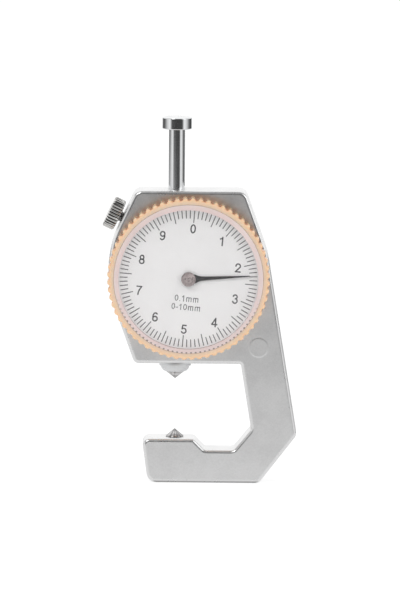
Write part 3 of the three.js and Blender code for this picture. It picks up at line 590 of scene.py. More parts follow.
class Finish(Nodes):
    """A material in the making, on Object coordinates."""

    def __init__(self, name):
        self.look = bpy.data.materials.new(name)
        self.look.use_nodes = True
        super().__init__(self.look.node_tree)
        self.shader = self.tree.nodes["Principled BSDF"]
        self.coords = self.add("ShaderNodeTexCoord").outputs["Object"]

    def set(self, **inputs):
        """Feeds inputs of the shader; an underscore stands for a space."""
        for key, value in inputs.items():
            self.feed(value, self.shader.inputs[key.replace("_", " ")])

    def paint(self, colour):
        """Makes a colour socket the base colour."""
        self.colour = colour
        self.set(Base_Color=colour)

    def bump(self, height, strength, distance):
        inputs = {"Height": height, "Strength": strength, "Distance": distance}
        self.set(Normal=self.add("ShaderNodeBump", inputs).outputs["Normal"])

    def mottle(self, colour=None, factor=1.0, metallic=1.0, rough=(0.3, 0.4), contrast=0.05,
               blotch=200.0, grain=3000.0, bump=0.05):
        """Soft blotches, fine grain and a faint bump, in one of the gauge's colours or white."""
        self.tone = getattr(colours(), colour) if colour else (1, 1, 1)
        surface = self.group(
            "Mottle", Vector=self.coords, Blotch_Scale=blotch, Grain_Scale=grain,
            Light=shade(self.tone, factor * (1 + contrast)),
            Dark=shade(self.tone, factor * (1 - contrast)),
            Smoothest=rough[0], Roughest=rough[1])
        self.paint(surface["Color"])
        self.set(Roughness=surface["Roughness"], Metallic=metallic)
        if bump:
            self.bump(surface["Height"], bump, 2e-5)

    def mark(self, rough, stretch, strength, distance=1e-5, about=None, dark=None):
        """Fine marks on metal: straight ones, or turned ones about the dial's axis or the spindle's."""
        vector = self.coords
        if about == "dial":
            vector = self.centred()
        elif about == "spindle":
            vector = self.moved(vector, (0, 0, 0), (math.pi / 2, 0, 0))
        marks = self.group(
            "Turned streaks" if about else "Streaks", Vector=vector,
            Stretch=stretch, Smoothest=rough[0], Roughest=rough[1])
        self.set(Roughness=marks["Roughness"])
        self.bump(marks["Height"], strength, distance)
        if dark:
            self.grime(marks["Mask"], 1.0, shade(self.tone, dark))

    def centred(self):
        """Coordinates about the dial's axis."""
        return self.moved(self.coords, (-DIAL_CENTRE.x, 0, -DIAL_CENTRE.z))

    def grime(self, mask, amount, dark):
        """Darkens the finish where a mask is high: painted shade in grooves and gaps, a painted refraction of
        the dial's ticks, and darker ground marks.
        """
        grime = self.group("Groove grime", Color=self.colour, Groove=mask, Amount=amount, Dark=dark)
        self.paint(grime["Color"])

    def tint(self, start, end, inner, outer):
        """Multiplies the finish by a colour that changes with the distance from the dial's axis."""
        tint = self.group(
            "Rim tint", Vector=self.centred(), Start=start * MM, End=end * MM,
            Inner=shade(inner), Outer=shade(outer))
        self.paint(self.blend(1.0, self.colour, tint["Color"], "MULTIPLY"))

    def gaps(self):
        """The groove attribute of a toothed or knurled piece, from 0 on a tip to 1 in a gap."""
        return self.add("ShaderNodeAttribute", attribute_name="groove").outputs["Fac"]

    def by_height(self, mask, source, target):
        """A mask times a share that goes through target as faces look from low to high."""
        _, _, up = self.parts(self.add("ShaderNodeNewGeometry").outputs["Normal"])
        return self.math("MULTIPLY", self.remap(up, source, target), mask)

    def scatter(self, weight, radius, scale):
        self.set(Subsurface_Weight=weight, Subsurface_Radius=radius, Subsurface_Scale=scale * MM)

    def mix_shaders(self, share, first, second):
        """Shows the second shader in place of the first by a share."""
        mix = self.add("ShaderNodeMixShader", {0: share, 1: first, 2: second})
        self.feed(mix.outputs["Shader"], self.tree.nodes["Material Output"].inputs["Surface"])

    def pass_lamps(self):
        """Lets the lamps' light through a clear piece to what lies under it."""
        clear = self.add("ShaderNodeBsdfTransparent", {"Color": shade(colours().crystal)})
        path = self.add("ShaderNodeLightPath").outputs
        self.mix_shaders(path["Is Shadow Ray"], self.shader.outputs["BSDF"], clear.outputs["BSDF"])


def dirty_knurl(finish):
    """Painted shade: dark grooves between bright ridges, and a darker threaded shank."""
    finish.grime(finish.gaps(), 1.0, (0.015, 0.014, 0.013, 1))


def peach_plastic(finish):
    """Deeper in colour towards the teeth, with painted shade in the gaps that is strongest where they face
    up, and a little translucent.
    """
    finish.tint(18.3, 19.2, colours().bezel_inner, colours().bezel_outer)
    # Painted shade in the gaps between the teeth, darkest on faces that look up
    shaded = finish.by_height(finish.gaps(), (-0.6, 0.6), (0.3, 1.0))
    finish.grime(shaded, 0.85, shade(colours().grime))
    finish.scatter(0.35, (1.0, 0.6, 0.4), 1.2)


def clear_plastic(finish):
    """Clear plastic that lets the lamps through to the dial."""
    finish.set(Transmission_Weight=1.0, IOR=1.49, Specular_IOR_Level=0.3)
    finish.pass_lamps()


def milky_rim(finish):
    """Tinted rim of the crystal, with a painted refraction of the ticks' ends in its lower half."""
    finish.tint(17.4, 18.0, colours().rim_inner, colours().rim_outer)
    # Painted refraction: the ticks' ends as dark dots on the faces of the rim that look down
    ghosts = finish.group(
        "Tick ghosts", Vector=finish.centred(), Radius=17.93 * MM, Reach=0.22 * MM,
        Turn=sizes().dial_turn)
    shown = finish.by_height(ghosts["Mask"], (-0.4, -0.15), (1.0, 0.0))
    finish.grime(shown, 0.85, shade(colours().rim_outer, 0.15))
    finish.scatter(0.3, (1.0, 0.7, 0.6), 0.6)
    finish.pass_lamps()


def dull_paint(finish):
    finish.set(Specular_IOR_Level=0.25)


# How each finish is mottled
COATS = {
    "Satin casting": dict(
        colour="casting", rough=(0.3, 0.36), contrast=0.08, blotch=160.0, grain=2600.0, bump=0.06),
    "Polished edge": dict(
        colour="casting", factor=0.99, rough=(0.26, 0.33), contrast=0.02,
        blotch=300.0, grain=1200.0, bump=0.02),
    "Turned cover": dict(colour="casting", contrast=0.03, bump=0.0),
    "Chrome rod": dict(colour="chrome", contrast=0.03, bump=0.0),
    "Chrome button": dict(
        colour="chrome", rough=(0.04, 0.09), contrast=0.02, blotch=400.0, grain=2000.0, bump=0.01),
    "Bright flange": dict(
        colour="chrome", factor=0.88, metallic=0.6, rough=(0.42, 0.5), contrast=0.04,
        blotch=400.0, grain=1500.0, bump=0.02),
    "Nickel": dict(colour="nickel", rough=(0.09, 0.14), blotch=500.0, grain=2500.0, bump=0.02),
    "Knurled nickel": dict(
        colour="nickel", rough=(0.12, 0.18), blotch=500.0, grain=2500.0, bump=0.02),
    "Ground point": dict(colour="steel", contrast=0.03, bump=0.0),
    "Ground anvil": dict(colour="anvil", contrast=0.03, bump=0.0),
    "Steel": dict(colour="steel", rough=(0.22, 0.34), blotch=500.0, bump=0.04),
    "Spring steel": dict(colour="steel", factor=0.7, rough=(0.25, 0.35), blotch=500.0, bump=0.04),
    "Brass": dict(colour="brass", rough=(0.22, 0.34), contrast=0.06, blotch=400.0, bump=0.04),
    "Peach plastic": dict(
        metallic=0.0, rough=(0.2, 0.3), contrast=0.04, blotch=250.0, grain=1800.0, bump=0.03),
    "Clear plastic": dict(
        colour="crystal", metallic=0.0, rough=(0.01, 0.03), contrast=0.01,
        blotch=90.0, grain=900.0, bump=0.004),
    "Milky rim": dict(
        metallic=0.0, rough=(0.1, 0.16), contrast=0.04, blotch=300.0, grain=1500.0, bump=0.02),
    "Dial enamel": dict(
        colour="dial", metallic=0.0, rough=(0.42, 0.5), contrast=0.012,
        blotch=120.0, grain=2500.0, bump=0.01),
    "Dial print": dict(
        colour="print_ink", metallic=0.0, rough=(0.5, 0.6), contrast=0.15,
        blotch=900.0, grain=4000.0, bump=0.02),
    "Legend print": dict(
        colour="print_ink", factor=1.3, metallic=0.0, rough=(0.5, 0.6), contrast=0.12,
        blotch=900.0, grain=4000.0, bump=0.02),
    "Black paint": dict(
        colour="pointer", metallic=0.0, rough=(0.35, 0.45), contrast=0.2, blotch=600.0, bump=0.03),
    "Satin cap": dict(colour="hub", contrast=0.03, bump=0.0),
}

# Fine marks on the metals that are turned, ground or drawn
CONE_MARKS = dict(
    rough=(0.16, 0.34), stretch=(0.03, 0.3, 0.3), strength=0.35, distance=3e-5, about="spindle")
MARKS = {
    "Turned cover": dict(rough=(0.24, 0.4), stretch=(0.4, 260.0, 1.0), strength=0.25, about="dial"),
    "Chrome rod": dict(rough=(0.1, 0.14), stretch=(60.0, 60.0, 1.5), strength=0.012),
    "Ground point": dict(CONE_MARKS, dark=0.7),
    "Ground anvil": dict(CONE_MARKS, dark=0.4),
    "Satin cap": dict(
        rough=(0.14, 0.3), stretch=(0.008, 22.0, 1.0), strength=0.15, about="dial", dark=0.6),
}
EXTRAS = {
    "Knurled nickel": dirty_knurl, "Peach plastic": peach_plastic, "Clear plastic": clear_plastic,
    "Milky rim": milky_rim, "Black paint": dull_paint,
}


def look_of(name):
    """The named finish, made the first time it is asked for."""
    if name not in bpy.data.materials:
        finish = Finish(name)
        finish.mottle(**COATS[name])
        if name in MARKS:
            finish.mark(**MARKS[name])
        if name in EXTRAS:
            EXTRAS[name](finish)
    return bpy.data.materials[name]


# Forms of the casting, in millimetres: profiles are (radius, along), bars are radius, start and end

PLATE_CUT = -3.5
BORE_RADIUS = 2.95
ANVIL_HOLE_RADIUS = 1.25
ANVIL_HOLE_DEPTH = 5
POCKET = (5.6, -2.2, 3.8)
COVER_RECESS = (16.9, 3.75)
BEARING_HOLE_RADIUS = 1.55
BOSS_RADIUS = 16.6
SNAP_GROOVE = (16.05, -6.8, -6.2)
# Front and back of the rooms for the bridge and the guide pin, and how far the pin drops
BRIDGE_ROOM = (2.85, 3.8)
PIN_ROOM = (0.0, 3.8)
PIN_DROP = 12.27
# How far a cutting form reaches past the face that it starts from
PAST = 1
CLAMP_MOUTH = [(0, -1), (2.65, -1), (1.32, 0.33), (1.32, 12.6), (0, 12.6)]
COVER_SCREW = [(0, 4.85), (1.55, 4.85), (1.55, 4.75), (0.8, 4.05), (0.8, 1.1), (0, 1.1)]
# The mould mark's place on the arm, and its radius, half its slope's width and height, and its land
MARK_PLACE = (20.26, 33.3)
MOULD_MARK = (2.55, 0.3, 0.065, 0.12)


def cover_screw_tools():
    """Holes for the cover screws, and where they are, from their CAD nodes."""
    boxes = [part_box(f"cover_screw_{number}") for number in range(1, 5)]
    places = [Vector(((low.x + high.x) / 2, 0, (low.z + high.z) / 2)) for low, high in boxes]
    return [turned(COVER_SCREW, place, Y_AXIS, 48) for place in places], places


class GAUGE_OT_casting(Operator):
    """Adds the cast frame with rounded, polished edges and all its bores"""

    bl_idname = "gauge.casting"
    bl_label = "Casting"

    def execute(self, context):
        plate = outline_face("frame", PLATE_CUT * MM)
        bmesh.ops.translate(plate, vec=(0, (FACE_FRONT - PLATE_CUT) * MM, 0), verts=plate.verts)
        thicken(plate, (FACE_BACK - FACE_FRONT) * MM)
        rims = [edge for edge in plate.edges if abs(edge.verts[0].co.y - edge.verts[1].co.y) < MERGE]
        for polished in bevel(plate, rims, sizes().edge_radius, sizes().edge_segments, clamp=False):
            polished.material_index = 1
        solid = boolean(plate, [self.boss(), self.mould_mark()], "UNION")
        solid = boolean(solid, self.bores(), "DIFFERENCE")
        weld(solid)
        add_piece(solid, "casting", ["Satin casting", "Polished edge"], "case", "cast_alloy", "frame")
        return {"FINISHED"}

    def boss(self):
        """Round boss that carries the bezel, with the groove of its snap ring."""
        bottom, low, high = SNAP_GROOVE
        back = BOSS_FRONT + 3
        profile = [
            (0, BOSS_FRONT), (BOSS_RADIUS, BOSS_FRONT), (BOSS_RADIUS, low), (bottom, low),
            (bottom, high), (BOSS_RADIUS, high), (BOSS_RADIUS, back), (0, back)]
        return turned(profile, DIAL_CENTRE, Y_AXIS, 128)

    def mould_mark(self):
        """Faint round mark that the mould left on the arm, raised, with a sloping rim."""
        radius, slope, rise, land = MOULD_MARK
        front, back = FACE_FRONT - rise, FACE_FRONT + rise
        profile = [
            (0, front), (radius - slope - land, front), (radius - slope, front),
            (radius + slope, back), (0, back)]
        return turned(profile, Vector((MARK_PLACE[0] * MM, 0, MARK_PLACE[1] * MM)), Y_AXIS)

    def bores(self):
        """All that is cut out of the casting."""
        anvil_low = heights("anvil_point")[0] - 0.05
        return [
            bar(BORE_RADIUS, THROAT_TOP - PAST, FRAME_TOP + PAST, ORIGIN, Z_AXIS),
            bar(ANVIL_HOLE_RADIUS, anvil_low, anvil_low + ANVIL_HOLE_DEPTH, ORIGIN, Z_AXIS, 48),
            bar(*POCKET, DIAL_CENTRE, Y_AXIS),
            bar(*COVER_RECESS, FACE_BACK + PAST, DIAL_CENTRE, Y_AXIS, 128),
            bar(BEARING_HOLE_RADIUS, BOSS_FRONT - PAST, POCKET[1] + PAST, DIAL_CENTRE, Y_AXIS, 48),
            turned(CLAMP_MOUTH, CLAMP_FOOT, CLAMP_INWARD, 64),
            self.room_for("movement_bridge", *BRIDGE_ROOM),
            self.room_for("guide_pin", *PIN_ROOM, drop=PIN_DROP),
            *cover_screw_tools()[0],
        ]

    def room_for(self, node, front, back, drop=0.0, gap=0.1):
        """Box round a hidden node and the way that it drops, with a little room above."""
        low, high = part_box(node)
        below, above = gap + drop, gap + drop * 0.1
        low = Vector((low.x - gap * MM, front * MM, low.z - below * MM))
        high = Vector((high.x + gap * MM, back * MM, high.z + above * MM))
        room = bmesh.new()
        add_box(room, Matrix.Translation((high + low) / 2), high - low)
        return room


class GAUGE_OT_cover(Operator):
    """Adds the turned back cover and its four slotted screws"""

    bl_idname = "gauge.cover"
    bl_label = "Back cover"

    thickness = 0.95
    # A screw's slot: its size in metres, and its turn in degrees, which grows from screw to screw
    slot_size = (4 * MM, 1.0 * MM, 0.38 * MM)
    slot_start, slot_step = 35, 50

    def execute(self, context):
        holes, places = cover_screw_tools()
        radius = half_width("back_cover")
        cover = bar(radius, FACE_BACK - self.thickness, FACE_BACK, DIAL_CENTRE, Y_AXIS, 128)
        soften(cover, 0.12, 3, 60)
        cover = boolean(cover, holes, "DIFFERENCE")
        weld(cover)
        add_piece(cover, "cover_disc", ["Turned cover"], "case", "cast_alloy", "back_cover")
        for number, place in enumerate(places, 1):
            self.add_screw(number, place)
        return {"FINISHED"}

    def add_screw(self, number, place):
        head, shank, sink, end = 1.5, 0.75, FACE_BACK - 0.7, FACE_BACK - 3.6
        profile = [(0, FACE_BACK), (head, FACE_BACK), (shank, sink), (shank, end), (0, end)]
        screw = turned(profile, place, Y_AXIS, 48)
        soften(screw, 0.06, 2, 40)
        slot = bmesh.new()
        turn = Matrix.Rotation(math.radians(self.slot_start + self.slot_step * number), 4, "Y")
        middle = Matrix.Translation(place + Vector((0, (FACE_BACK + 0.2) * MM, 0)))
        add_box(slot, middle @ turn, self.slot_size)
        screw = boolean(screw, [slot], "DIFFERENCE")
        add_piece(
            screw, f"cover_screw_head_{number}", ["Nickel"], "case", "nickel_plate",
            f"cover_screw_{number}")


class GAUGE_OT_spindle(Operator):
    """Adds the rod, the push button, the contact flange and its tip"""

    bl_idname = "gauge.spindle"
    bl_label = "Spindle"

    tenon_radius = 1.35
    stem_radius = 0.9
    button_skirt = 0.35

    def execute(self, context):
        rod = merged_copy("spindle_rod")
        add_piece(rod, "rod", ["Chrome rod"], "spindle", "bright_chrome", "spindle_rod", angle=20)
        self.add_button()
        self.add_flange()
        self.add_tip()
        return {"FINISHED"}

    def add_button(self):
        """Button on the rod's tenon, with a skirt that hides the joint."""
        shoulder, high = heights("push_button")
        radius, bore, tenon = half_width("push_button"), half_width("spindle_rod") + 0.04, self.tenon_radius
        low, socket, rounding = shoulder - self.button_skirt, shoulder + 1.7, 0.18
        profile = [
            (0, socket), (tenon, socket), (tenon, shoulder), (bore, shoulder), (bore, low), (radius, low),
            (radius, low + rounding * 1.2), (radius, high - rounding * 1.2), (radius, high), (0, high)]
        button = turned(profile, ORIGIN, Z_AXIS)
        rims = [
            edge for edge in button.edges
            if all(abs(vert.co.xy.length - radius * MM) < MERGE for vert in edge.verts)
            and all(min(abs(vert.co.z - low * MM), abs(vert.co.z - high * MM)) < MERGE for vert in edge.verts)
        ]
        bevel(button, rims, rounding * MM, 3)
        add_piece(button, "thumb_button", ["Chrome button"], "spindle", "bright_chrome", "push_button")

    def add_flange(self):
        """Disc that meets the frame, rounded into a bowl above the tip."""
        low, high = heights("contact_flange")
        radius, tip_radius = half_width("contact_flange"), half_width("contact_tip")
        bowl_width, bowl_top = radius - 0.4 - tip_radius, high - 0.8
        tenon_end, stem_bore, stem_end = high - 1.05, self.stem_radius + 0.05, low + 0.95
        profile = [
            (0, tenon_end), (self.tenon_radius, tenon_end), (self.tenon_radius, high), (radius, high),
            (radius, bowl_top),
            *[(tip_radius + bowl_width * math.cos(angle), low + (bowl_top - low) * (1 - math.sin(angle)))
              for angle in quarter(10)],
            (stem_bore, low), (stem_bore, stem_end), (0, stem_end)]
        flange = turned(profile, ORIGIN, Z_AXIS)
        soften(flange, 0.07, 2, 50)
        add_piece(flange, "flange", ["Bright flange"], "spindle", "tool_steel", "contact_flange")

    def add_tip(self):
        """Cone of the upper point, on its stem."""
        low, high = heights("contact_tip")
        shoulder, stem = low + 1.77, self.stem_radius
        profile = [
            (0, low), (half_width("contact_tip"), shoulder), (stem, shoulder), (stem, high), (0, high)]
        tip = turned(profile, ORIGIN, Z_AXIS)
        soften(tip, 0.05, 2, 50)
        add_piece(tip, "point_tip", ["Ground point"], "spindle", "tool_steel", "contact_tip")


class GAUGE_OT_anvil(Operator):
    """Adds the fixed measuring point in the jaw"""

    bl_idname = "gauge.anvil"
    bl_label = "Anvil"

    def execute(self, context):
        low, high = heights("anvil_point")
        radius, stem, seat, land = half_width("anvil_point"), 1.2, low + 4.05, high - 1.8
        profile = [(0, low), (stem, low), (stem, seat), (radius, seat), (radius, land), (0, high)]
        anvil = turned(profile, ORIGIN, Z_AXIS)
        soften(anvil, 0.05, 2, 30)
        add_piece(anvil, "anvil_tip", ["Ground anvil"], "case", "tool_steel", "anvil_point")
        return {"FINISHED"}


class GAUGE_OT_bezel(Operator):
    """Adds the toothed bezel and the clear crystal that it holds"""

    bl_idname = "gauge.bezel"
    bl_label = "Bezel and crystal"

    samples_per_tooth = 10
    # Where a tooth's flank ends, and how much of the way from its middle the flank takes
    tooth_foot, tooth_flank = 0.78, 0.48

    def execute(self, context):
        self.add_ring()
        self.add_crystal()
        return {"FINISHED"}

    def tooth_height(self, angle):
        """Share of the tooth depth that stands at an angle, from 0 in a gap to 1 on a tip."""
        inside = self.tooth_foot - off_middle(angle, sizes().bezel_teeth)
        return min(1, max(0, inside / self.tooth_flank))

    def add_ring(self):
        front, back = depths("bezel_ring")
        dial_front, dial_back = depths("dial_plate")
        tip, root, lip, seat, bore = 19.75, 19.25, 18.17, 17.95, 16.8
        groove, groove_front, groove_back = 17.2, -6.8, -6.2
        rounding, taper, chamfer, play = 0.65, 0.5, 0.12, 0.05
        profile = [
            (lip, front + chamfer), (lip + chamfer, front),
            *[(tip - rounding + rounding * math.sin(angle), front + rounding - rounding * math.cos(angle))
              for angle in quarter(6)],
            (tip, back - taper), (root, back), (bore, back),
            (bore, groove_back), (groove, groove_back), (groove, groove_front), (bore, groove_front),
            (bore, dial_back + play), (seat, dial_back + play), (seat, dial_front), (lip, dial_front)]
        ring = turned(profile, DIAL_CENTRE, Y_AXIS, sizes().bezel_teeth * self.samples_per_tooth)
        cut_teeth(ring, DIAL_CENTRE, Y_AXIS, Z_AXIS, root * MM, sizes().tooth_depth, self.tooth_height)
        add_piece(ring, "grip_ring", ["Peach plastic"], "bezel", "bezel_plastic", "bezel_ring", angle=40)

    def add_crystal(self):
        """Flat window with a bevelled rim and a wall that stands on the dial."""
        front, back = depths("crystal")
        outer, flat, inner = 18.15, 17.0, 17.0
        shoulder, under = front + 1.0, front + 1.1
        profile = [
            (0, front), (flat, front), (outer, shoulder), (outer, back), (inner, back),
            (inner, under), (0, under)]
        crystal = turned(profile, DIAL_CENTRE, Y_AXIS, 160)
        soften(crystal, 0.06)
        for face in crystal.faces:
            out = face.calc_center_median() - DIAL_CENTRE
            if out.xz.length > flat * MM:
                face.material_index = 1
        add_piece(crystal, "window", ["Clear plastic", "Milky rim"], "bezel", "clear_plastic", "crystal")


def arc(x, y, across, up, start, end):
    """Points on a part of an ellipse, between two angles in degrees."""
    steps = max(2, round(abs(end - start) / 15))
    angles = [math.radians(start + (end - start) * step / steps) for step in range(steps + 1)]
    return [(x + across * math.cos(angle), y + up * math.sin(angle)) for angle in angles]


SIX = [arc(0.02, 0.5, 0.27, 0.45, 50, 180), arc(0, 0.29, 0.25, 0.26, 180, 540)]

# Each sign's width and its pen strokes, about its middle and on its foot, one unit high
GLYPHS = {
    "0": (0.775, [arc(0, 0.5, 0.24, 0.45, 90, 450)]),
    "1": (0.775, [[(-0.19, 0.73), (0, 0.8), (0.06, 0.95)], [(0.06, 0.95), (0.06, 0)]]),
    "2": (0.775, [arc(0, 0.69, 0.25, 0.26, 180, -25) + [(-0.26, 0.05)], [(-0.26, 0.05), (0.27, 0.05)]]),
    "3": (0.775, [arc(-0.01, 0.72, 0.22, 0.23, 165, -75), arc(-0.01, 0.27, 0.25, 0.27, 80, -165)]),
    "4": (0.775, [[(0.12, 0), (0.12, 0.95)], [(0.12, 0.95), (-0.28, 0.25)], [(-0.28, 0.24), (0.29, 0.24)]]),
    "5": (0.775, [
        [(0.22, 0.93), (-0.16, 0.93)], [(-0.16, 0.93), (-0.21, 0.5)],
        arc(-0.01, 0.31, 0.26, 0.28, 125, -155)]),
    "6": (0.775, SIX),
    "7": (0.775, [[(-0.26, 0.93), (0.27, 0.93)], [(0.27, 0.93), (0.05, 0.6), (-0.06, 0.3), (-0.09, 0)]]),
    "8": (0.775, [arc(0, 0.71, 0.2, 0.23, 90, 450), arc(0, 0.26, 0.25, 0.26, 90, 450)]),
    "9": (0.775, [[(-x, 1 - y) for x, y in stroke] for stroke in SIX]),
    ".": (0.387, [[(0, 0.03), (0, 0.06)]]),
    "-": (0.46, [[(-0.13, 0.36), (0.13, 0.36)]]),
    "m": (1.16, [
        *[[(x, 0), (x, 0.66)] for x in (-0.38, 0, 0.38)],
        arc(-0.19, 0.48, 0.19, 0.2, 180, 0), arc(0.19, 0.48, 0.19, 0.2, 180, 0)]),
}
# The lines of text, and how far each stands below the dial's middle in millimetres
LEGEND = (("0.1mm", 4.8), ("0-10mm", 6.9))


class GAUGE_OT_dial(Operator):
    """Adds the dial with its hundred ticks, its numbers and its two short lines of text"""

    bl_idname = "gauge.dial"
    bl_label = "Dial"

    bore = 1.3
    print_rise = 0.012 * MM
    ticks_per_number = 10
    ticks_per_long_tick = 5

    def execute(self, context):
        front, back = depths("dial_plate")
        radius = half_width("dial_plate")
        profile = [(self.bore, front), (radius, front), (radius, back), (self.bore, back)]
        plate = turned(profile, DIAL_CENTRE, Y_AXIS, 160)
        soften(plate, 0.06, 2, 50)
        add_piece(plate, "dial_face", ["Dial enamel"], "bezel", "dial_enamel", "dial_plate")
        self.place = Matrix.Translation((DIAL_CENTRE.x, front * MM, DIAL_CENTRE.z)) @ Matrix.Rotation(
            sizes().dial_turn, 4, "Y")
        self.add_ticks()
        self.add_numbers()
        self.add_legend()
        return {"FINISHED"}

    def add_print(self, bm, name, look):
        add_piece(bm, name, [look], "bezel", "black_paint", weighted=False)

    def add_ticks(self):
        size = sizes()
        ticks = bmesh.new()
        for number in range(DIAL_DIVISIONS):
            inner = size.tick_short if number % self.ticks_per_long_tick else size.tick_long
            length = size.tick_outer - inner
            turn = Matrix.Rotation(FULL_TURN * number / DIAL_DIVISIONS, 4, "Y")
            at = self.place @ turn @ Matrix.Translation((0, 0, inner + length / 2))
            add_box(ticks, at, (size.tick_width, 2 * self.print_rise, length))
        self.add_print(ticks, "dial_ticks", "Dial print")

    def add_numbers(self):
        size = sizes()
        numbers = bmesh.new()
        count = DIAL_DIVISIONS // self.ticks_per_number
        for digit in range(count):
            angle = FULL_TURN * digit / count
            place = Vector((math.sin(angle), 0, math.cos(angle))) * size.digit_circle
            self.add_text(numbers, str(digit), size.digit_height, size.digit_pen, place)
        self.add_print(numbers, "dial_numbers", "Dial print")

    def add_legend(self):
        size = sizes()
        legend = bmesh.new()
        for text, drop in LEGEND:
            self.add_text(legend, text, size.legend_height, size.legend_pen, (0, 0, -drop * MM))
        self.add_print(legend, "dial_legend", "Legend print")

    def add_text(self, bm, text, height, pen, place):
        """Adds a text in pen strokes to bm, upright on the dial and centred on a place."""
        curve = bpy.data.curves.new("lettering", "CURVE")
        curve.dimensions = "3D"
        curve.twist_mode = "Z_UP"
        curve.bevel_depth = pen / 2
        curve.bevel_resolution = 2
        curve.use_fill_caps = True
        left = -sum(GLYPHS[letter][0] for letter in text) / 2
        for letter in text:
            advance, strokes = GLYPHS[letter]
            for stroke in strokes:
                points = [
                    Vector(((left + advance / 2 + x) * height, (y - 0.5) * height, 0)) for x, y in stroke]
                self.add_stroke(curve, points, pen / 2)
            left += advance
        holder = in_scene("lettering", curve)
        graph = bpy.context.evaluated_depsgraph_get()
        mesh = bpy.data.meshes.new_from_object(holder.evaluated_get(graph))
        letters = bmesh.new()
        letters.from_mesh(mesh)
        weld(letters)
        bmesh.ops.scale(letters, vec=(1, 1, 2 * self.print_rise / pen), verts=letters.verts)
        upright = Matrix.Rotation(math.pi / 2, 3, "X")
        bmesh.ops.rotate(letters, cent=ORIGIN, matrix=upright, verts=letters.verts)
        bmesh.ops.recalc_face_normals(letters, faces=letters.faces)
        bmesh.ops.transform(letters, matrix=self.place @ Matrix.Translation(place), verts=letters.verts)
        letters.to_mesh(mesh)
        letters.free()
        bm.from_mesh(mesh)
        bpy.data.objects.remove(holder)
        bpy.data.curves.remove(curve)
        bpy.data.meshes.remove(mesh)

    def add_stroke(self, curve, points, half):
        """One stroke with round ends, which the radius of its end points makes."""
        whole = [(point, 1.0) for point in points]
        for end, inner in ((0, 1), (-1, -2)):
            outward = (points[end] - points[inner]).normalized() * half
            cap = [
                (points[end] + outward * math.sin(angle), math.cos(angle))
                for angle in map(math.radians, (30, 60, 85))]
            whole = cap[::-1] + whole if end == 0 else whole + cap
        spline = curve.splines.new("POLY")
        spline.points.add(len(whole) - 1)
        for made, (place, radius) in zip(spline.points, whole):
            made.co = (*place, 1)
            made.radius = radius


class GAUGE_OT_pointer(Operator):
    """Adds the tapered black pointer and the cap over its eye"""

    bl_idname = "gauge.pointer"
    bl_label = "Pointer"

    # Distance from the dial's axis and half the blade's width, from the tip inwards
    blade = [
        (14.9, 0.1), (10.0, 0.27), (6.0, 0.39), (4.0, 0.46), (3.0, 0.55), (2.2, 0.78), (1.75, 1.05),
    ]
    eye_radius = 1.6
    # The eye's outline runs from one side of the blade round to the other
    eye_angles = [math.radians(43 + 274 * step / 24) for step in range(25)]
    hole_radius = 0.8
    reading = math.radians(86.75)

    # The cap's dished front from its middle outwards: share of the radius, and depth behind its rim
    cap_dish = [
        (0, 0.24), (0.14, 0.24), (0.22, 0.17), (0.33, 0.18), (0.45, 0.2), (0.6, 0.16),
        (0.74, 0.09), (0.84, 0.03), (0.9, 0), (0.96, 0.02), (1, 0.1),
    ]

    def execute(self, context):
        front, back = depths("pointer_hand")
        hand = bmesh.new()
        points = [(-half, along) for along, half in self.blade[::-1]]
        points += [(half, along) for along, half in self.blade]
        points += [
            (self.eye_radius * math.sin(angle), self.eye_radius * math.cos(angle))
            for angle in self.eye_angles]
        hand.faces.new([hand.verts.new((x * MM, front * MM, z * MM)) for x, z in points])
        thicken(hand, (back - front) * MM)
        place = Matrix.Translation(DIAL_CENTRE) @ Matrix.Rotation(self.reading, 4, "Y")
        bmesh.ops.transform(hand, matrix=place, verts=hand.verts)
        hole = bar(self.hole_radius, front - PAST, back + PAST, DIAL_CENTRE, Y_AXIS, 48)
        hand = boolean(hand, [hole], "DIFFERENCE")
        add_piece(hand, "pointer_blade", ["Black paint"], "pointer", "black_paint", "pointer_hand")
        self.add_cap()
        return {"FINISHED"}

    def add_cap(self):
        front, back = depths("pointer_cap")
        radius, bore, floor = half_width("pointer_cap"), self.hole_radius, front + 0.3
        dish = [(share * radius, front + drop) for share, drop in self.cap_dish]
        cap = turned(
            [*dish, (radius, back), (bore, back), (bore, floor), (0, floor)], DIAL_CENTRE, Y_AXIS)
        add_piece(cap, "hub_cap", ["Satin cap"], "pointer", "cap_metal", "pointer_cap")


